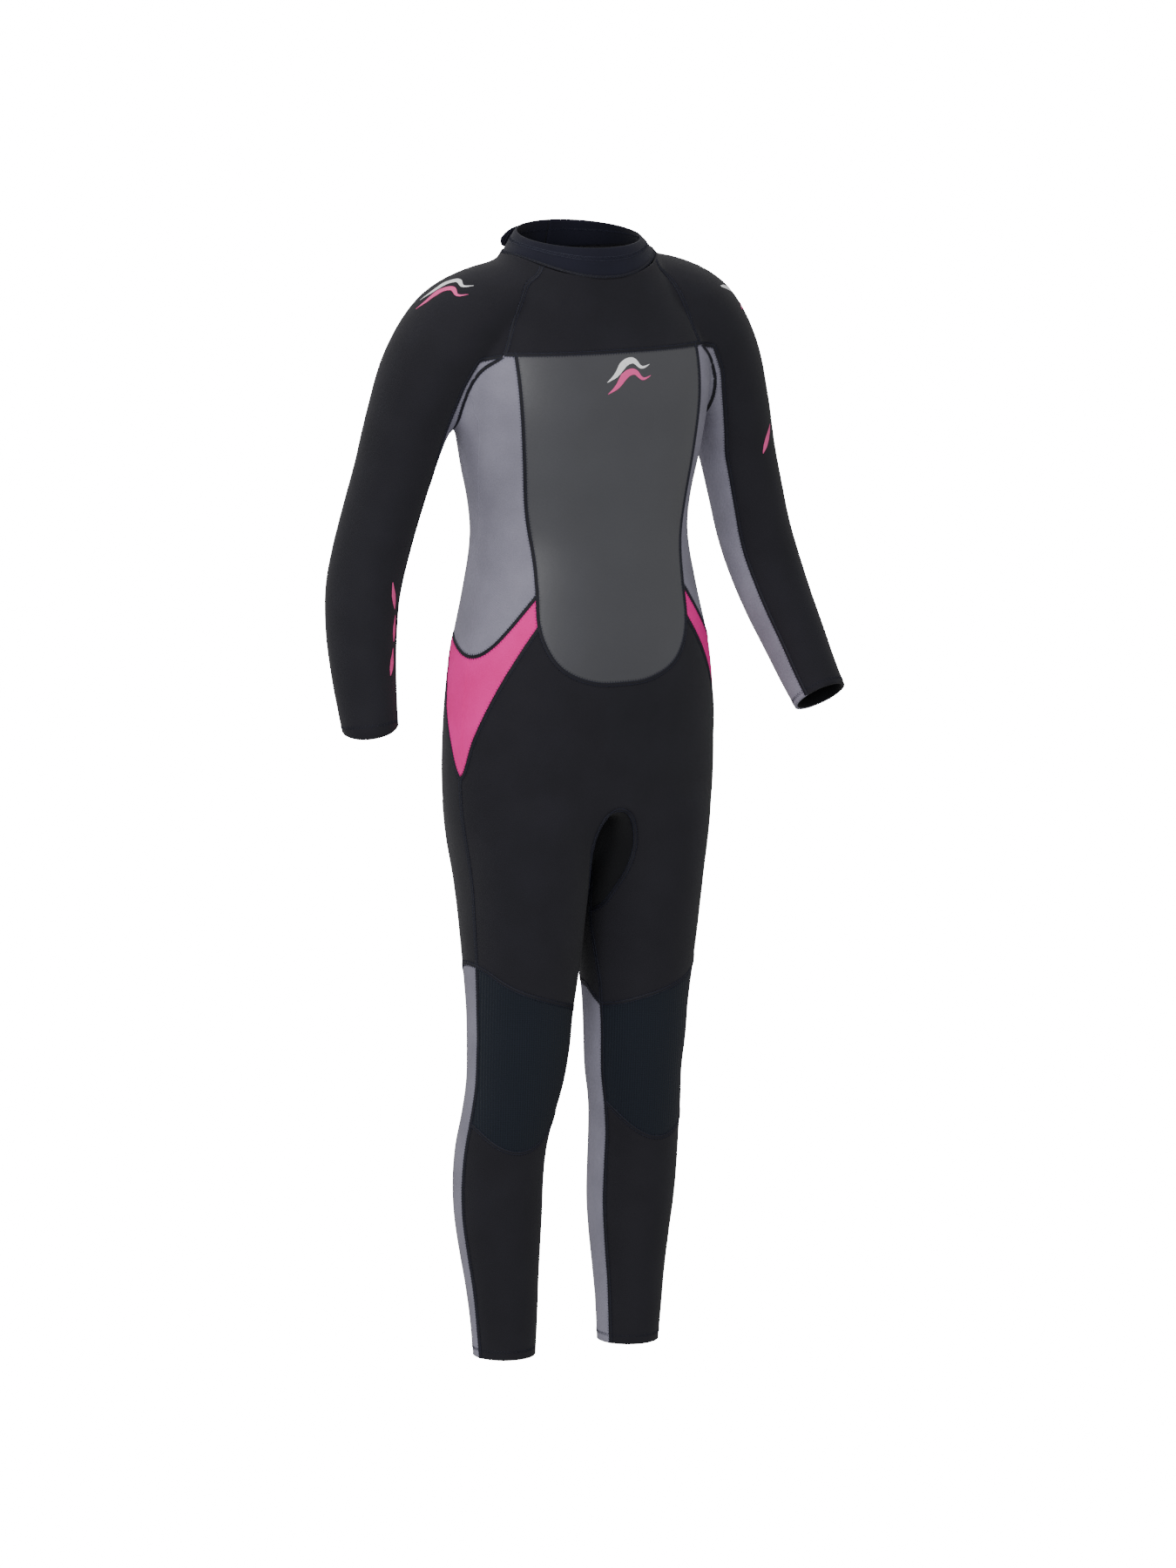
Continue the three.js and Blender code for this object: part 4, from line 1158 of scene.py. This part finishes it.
def closure():
    """The collar's tab with its rounded end, and the hook and loop patches under it."""
    root, tip = (back_turn(reach) for reach in TAB_REACH)

    def place(along, angle):
        half = tab_half(along, 0.4, 0.002)
        share, offset = section(angle, (TAB_FACE[1] - TAB_FACE[0]) / 2, 0.5 - half, 0.5 + half)
        close = 1 - 0.55 * math.exp(-along * 9)
        lift = TIP_LIFT * max(0.0, (along - 0.84) / 0.16) ** 1.5
        middle = (TAB_FACE[0] + TAB_FACE[1]) / 2 * close + lift
        return collar_at(root + (tip - root) * along, share, middle + offset)

    tab = wear(section_strip("tab_neoprene", 48, 24, place), "collar")
    outline = []
    for k in range(2):
        for i in range(60):
            along = (i if k == 0 else 59 - i) / 59 * 0.97
            half = tab_half(along, 0.33, 0.01)
            outline.append(collar_at(root + (tip - root) * along, 0.5 + (half if k == 0 else -half),
                                     TAB_FACE[1] + 0.1)[:])
    sewn = wear(threads("tab_thread", [outline], THREAD), "thread")
    for thing in (tab, sewn):
        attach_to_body(thing, "collar_closure")
    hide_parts("collar_tab")
    ends = back_turn(-COLLAR_SPLIT), back_turn(TAB_REACH[1] + 8)
    for name, face, body in PATCHES:
        def patch_place(along, angle, face=face):
            share, offset = section(angle, (face[1] - face[0]) / 2, 0.16, 0.84)
            return collar_at(ends[0] + (ends[1] - ends[0]) * along, share, sum(face) / 2 + offset)
        patch = wear(section_strip(f"{name}_pile", 30, 20, patch_place), "pile")
        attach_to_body(patch, body)
        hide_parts(name)


# --- Marks ----------------------------------------------------------------------------------------

def stroke(bm, tree, knots, widths):
    """A printed stroke on the skin through places in pattern millimetres, with a width at each."""
    places = []
    for k in range(41):
        x, y, z = row_at(knots, k / 40)
        places.append(tree.find_nearest(at(x, y, z))[0])
    points, normals, across = framed(places, 1.2 * MM, tree)
    shares = np.linspace(0, len(widths) - 1, len(points))
    wide = np.interp(shares, np.arange(len(widths)), widths)
    ribbon(bm, points, normals, across, wide, 0.16, sunk=-0.08, segments=6)


def wave(centre, size, right, up, shift):
    """A wave line: a rising curl, as knots about a centre."""
    shape = [(-0.5, -0.12), (-0.28, 0.02), (-0.08, 0.24), (0.14, 0.3), (0.3, 0.14), (0.5, 0.2)]
    centre, right, up = (np.array(v, float) for v in (centre, right, up))
    return [list(centre + right * (u * size) + up * (v * size + shift)) for u, v in shape]


def marks(tree):
    """Plain printed marks: two wave lines on the chest and shoulder, and tapered bars on the sleeves."""
    swell = [0.4, 4.5, 7.5, 6.5, 3.5, 0.4]
    made = {}

    def mark(group, colour, knots, widths):
        bm = made.setdefault((group, colour), bmesh.new())
        stroke(bm, tree, knots, widths)

    chest = (11, -86, 1029)
    mark("trunk", "white", wave(chest, 52, (1, 0, 0), (0, 0, 1), 5), swell)
    mark("trunk", "rose", wave(chest, 52, (1, 0, 0), (0, 0, 1), -7), swell)
    shoulder = (-160, -6, 1115)
    along = np.array((0.5, -0.86, 0.1))
    outward = np.array((0.72, 0.42, 0.55))
    mark("sleeve_right", "white", wave(shoulder, 56, along, outward, 5), swell)
    mark("sleeve_right", "rose", wave(shoulder, 56, along, outward, -8), swell)
    mark("sleeve_left", "white", [[171, -17, 1105], [163, -22, 1110], [151, -30, 1113]], [1, 6, 5, 2])
    mark("sleeve_left", "rose", [[190, -6, 1096], [186, -16, 1092], [180, -26, 1088]], [1, 6, 6, 1])
    for low, high in ((736, 762), (768, 794), (800, 828)):
        y_low, y_high = (np.interp(h, [736, 786, 826], [-28, -5, -6]) for h in (low, high))
        x_low, x_high = (np.interp(h, [736, 786, 826], [-232, -218, -220]) for h in (low, high))
        middle = [(x_low + x_high) / 2, (y_low + y_high) / 2, (low + high) / 2]
        mark("sleeve_right", "rose", [[x_low, y_low, low], middle, [x_high, y_high, high]], [1, 6, 7, 4, 1])
    mark("sleeve_left", "rose", [[210, -21, 934], [216, -19, 948], [224, -15, 964]], [1, 6, 7, 5, 1])
    for (group, colour), bm in made.items():
        print_piece = wear(new_object(f"print_{group}_{colour}", bm), colour)
        attach(print_piece, group)


# --- Zip ------------------------------------------------------------------------------------------

ZIP_EDGE = 3.6       # from the middle to the tape's inner edge
TAPE_EDGE = 13.5
FLAP_EDGE = 24
TAPE_INSET, TAPE_THICKNESS = 1.1, 1.0
FLAP_INSET, FLAP_THICKNESS = 3.4, 2.0


def back_depth(x, height, inset):
    """Depth of the torso's back at a place, set in."""
    places = [row_at(TORSO_FORM, k / 170) for k in range(171)]
    rows = np.array(places)
    half, back, n = (np.interp(height, rows[:, 0], rows[:, k]) for k in (1, 3, 4))
    return back * max(1 - (abs(x) / half) ** n, 0) ** (1 / n) - inset


def back_sheet(name, x_from, x_to, height_from, height_to, inset, thickness, material):
    """A strip of cloth that follows the inside of the back."""
    bm = bmesh.new()
    made = bmesh.ops.create_grid(bm, x_segments=10, y_segments=90, size=0.5)["verts"]
    depths = {}
    for v in made:
        x = x_from + (x_to - x_from) * (v.co.x + 0.5)
        height = height_from + (height_to - height_from) * (v.co.y + 0.5)
        key = round(height, 2)
        if key not in depths:
            depths[key] = [back_depth(at_x, height, inset) for at_x in (0, x_from, x_to)]
        ends = [depths[key][0], min(depths[key])]
        v.co = at(x, np.interp(abs(x), [0, max(abs(x_from), abs(x_to))], ends), height)
    bmesh.ops.recalc_face_normals(bm, faces=bm.faces)
    for face in bm.faces:
        if face.normal.y < 0:
            face.normal_flip()
    return wear(thicken(new_object(name, bm), thickness), material)


ZIP_NODES = {
    "teeth": ["zip_teeth_right", "zip_teeth_left"],
    "metal": ["zip_top_stop_right", "zip_top_stop_left", "zip_bottom_stop", "zip_slider", "zip_puller"],
}


def zipper():
    """Tapes and flap as cloth, and the moulded and metal pieces as they are, with softened edges."""
    foot = WAIST_BACK + 0.6
    top = LEG_LENGTH + TORSO_LENGTH - 2
    for hand, side in SIDES.items():
        edges = sorted((side * ZIP_EDGE, side * TAPE_EDGE))
        tape = back_sheet(f"zip_tape_cloth_{hand}", *edges, foot, top, TAPE_INSET, TAPE_THICKNESS, "tape")
        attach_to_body(tape, "suit")
        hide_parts(f"zip_tape_{hand}")
    flap = back_sheet("zip_flap_cloth", -FLAP_EDGE, FLAP_EDGE, foot, top - 3,
                      FLAP_INSET, FLAP_THICKNESS, "lining")
    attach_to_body(flap, "suit")
    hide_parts("zip_flap")
    for material, nodes in ZIP_NODES.items():
        for name in nodes:
            node = wear(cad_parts[name], material)
            bevel = node.modifiers.new("Bevel", "BEVEL")
            bevel.width = 0.25 * MM
            bevel.segments = 2
            bevel.limit_method = "ANGLE"


# --- Scene ----------------------------------------------------------------------------------------

ROOM_LIGHT = 0.46
LIT_PLACE = (0, 0, -0.45)
LAMPS = {  # place, size, power
    "key": ((-3.0, -3.4, 1.3), (2.4, 2.8), 165),
    "fill": ((3.2, -2.6, 0.6), (1.8, 3.0), 6),
    "top": ((0, 0.4, 2.6), (2.5, 2.0), 25),
    "rim": ((-2.4, 2.6, 0.6), (1.2, 3.0), 25),
}
FLOOR = -200
FLOOR_REACH = 45


def area_light(name, place, target, size, power):
    light = bpy.data.lights.new(name, "AREA")
    light.shape = "RECTANGLE"
    light.size, light.size_y = size
    light.energy = power
    made = bpy.data.objects.new(name, light)
    made.location = place
    made.rotation_euler = (Vector(target) - Vector(place)).to_track_quat("-Z", "Y").to_euler()
    bpy.context.scene.collection.objects.link(made)


def studio():
    """A white floor, a broad soft key from the wearer's right, and fills."""
    bm = bmesh.new()
    bmesh.ops.create_grid(bm, x_segments=1, y_segments=1, size=FLOOR_REACH)
    bmesh.ops.translate(bm, verts=bm.verts, vec=(0, 0, at(0, 0, FLOOR).z))
    floor = new_object("floor", bm)
    floor.data.materials.append(backdrop("backdrop", rgb(0.93, 0.93, 0.93)))
    floor.visible_diffuse = False
    floor.visible_glossy = False
    world = bpy.data.worlds.new("studio")
    bpy.context.scene.world = world
    world.use_nodes = True
    background = world.node_tree.nodes["Background"]
    background.inputs["Color"].default_value = rgb(1, 1, 1)
    background.inputs["Strength"].default_value = ROOM_LIGHT
    for name, (place, size, power) in LAMPS.items():
        area_light(name, place, LIT_PLACE, size, power)


VIEW_TURN = -29      # degrees, to the wearer's right
VIEW_RISE = 9.7
VIEW_DISTANCE = 8.0  # metres
VIEW_HEIGHT = 595
LENS = 177.8
LENS_SHIFT = (10.5 / 1800, 7 / 1800)


def camera():
    """From the front right and a little above, aimed at the hips."""
    turn, rise = math.radians(VIEW_TURN), math.radians(VIEW_RISE)
    away = Vector((math.sin(turn) * math.cos(rise), -math.cos(turn) * math.cos(rise), math.sin(rise)))
    lens = bpy.data.cameras.new("camera")
    lens.lens = LENS
    lens.shift_x, lens.shift_y = LENS_SHIFT
    made = bpy.data.objects.new("camera", lens)
    made.location = at(0, 0, VIEW_HEIGHT) + VIEW_DISTANCE * away
    made.rotation_euler = (-away).to_track_quat("-Z", "Y").to_euler()
    bpy.context.scene.collection.objects.link(made)
    bpy.context.scene.camera = made


def suit():
    bm = body_mesh()
    relax(bm)
    set_back(bm)
    cut_all(bm)
    trim(bm)
    bm.normal_update()
    panel = classify(bm)
    tree = BVHTree.FromBMesh(bm)
    bands, lines = seam_pieces(bm, panel, tree)
    hem_lines(tree, lines)
    neck_seam(bands, lines)
    marks(tree)
    for group in skin_pieces(bm, panel):
        band = wear(new_object(f"{group}_seams", bands[group]), "band")
        sewn = wear(threads(f"{group}_thread", lines[group], THREAD), "thread")
        for thing in (band, sewn):
            attach(thing, group)
    bm.free()
    for colour in FOLDS.values():
        attach(wear(new_object(f"side_fold_{colour}", bands[colour]), colour), "trunk")
    collar()
    closure()
    zipper()


studio()
camera()
suit()
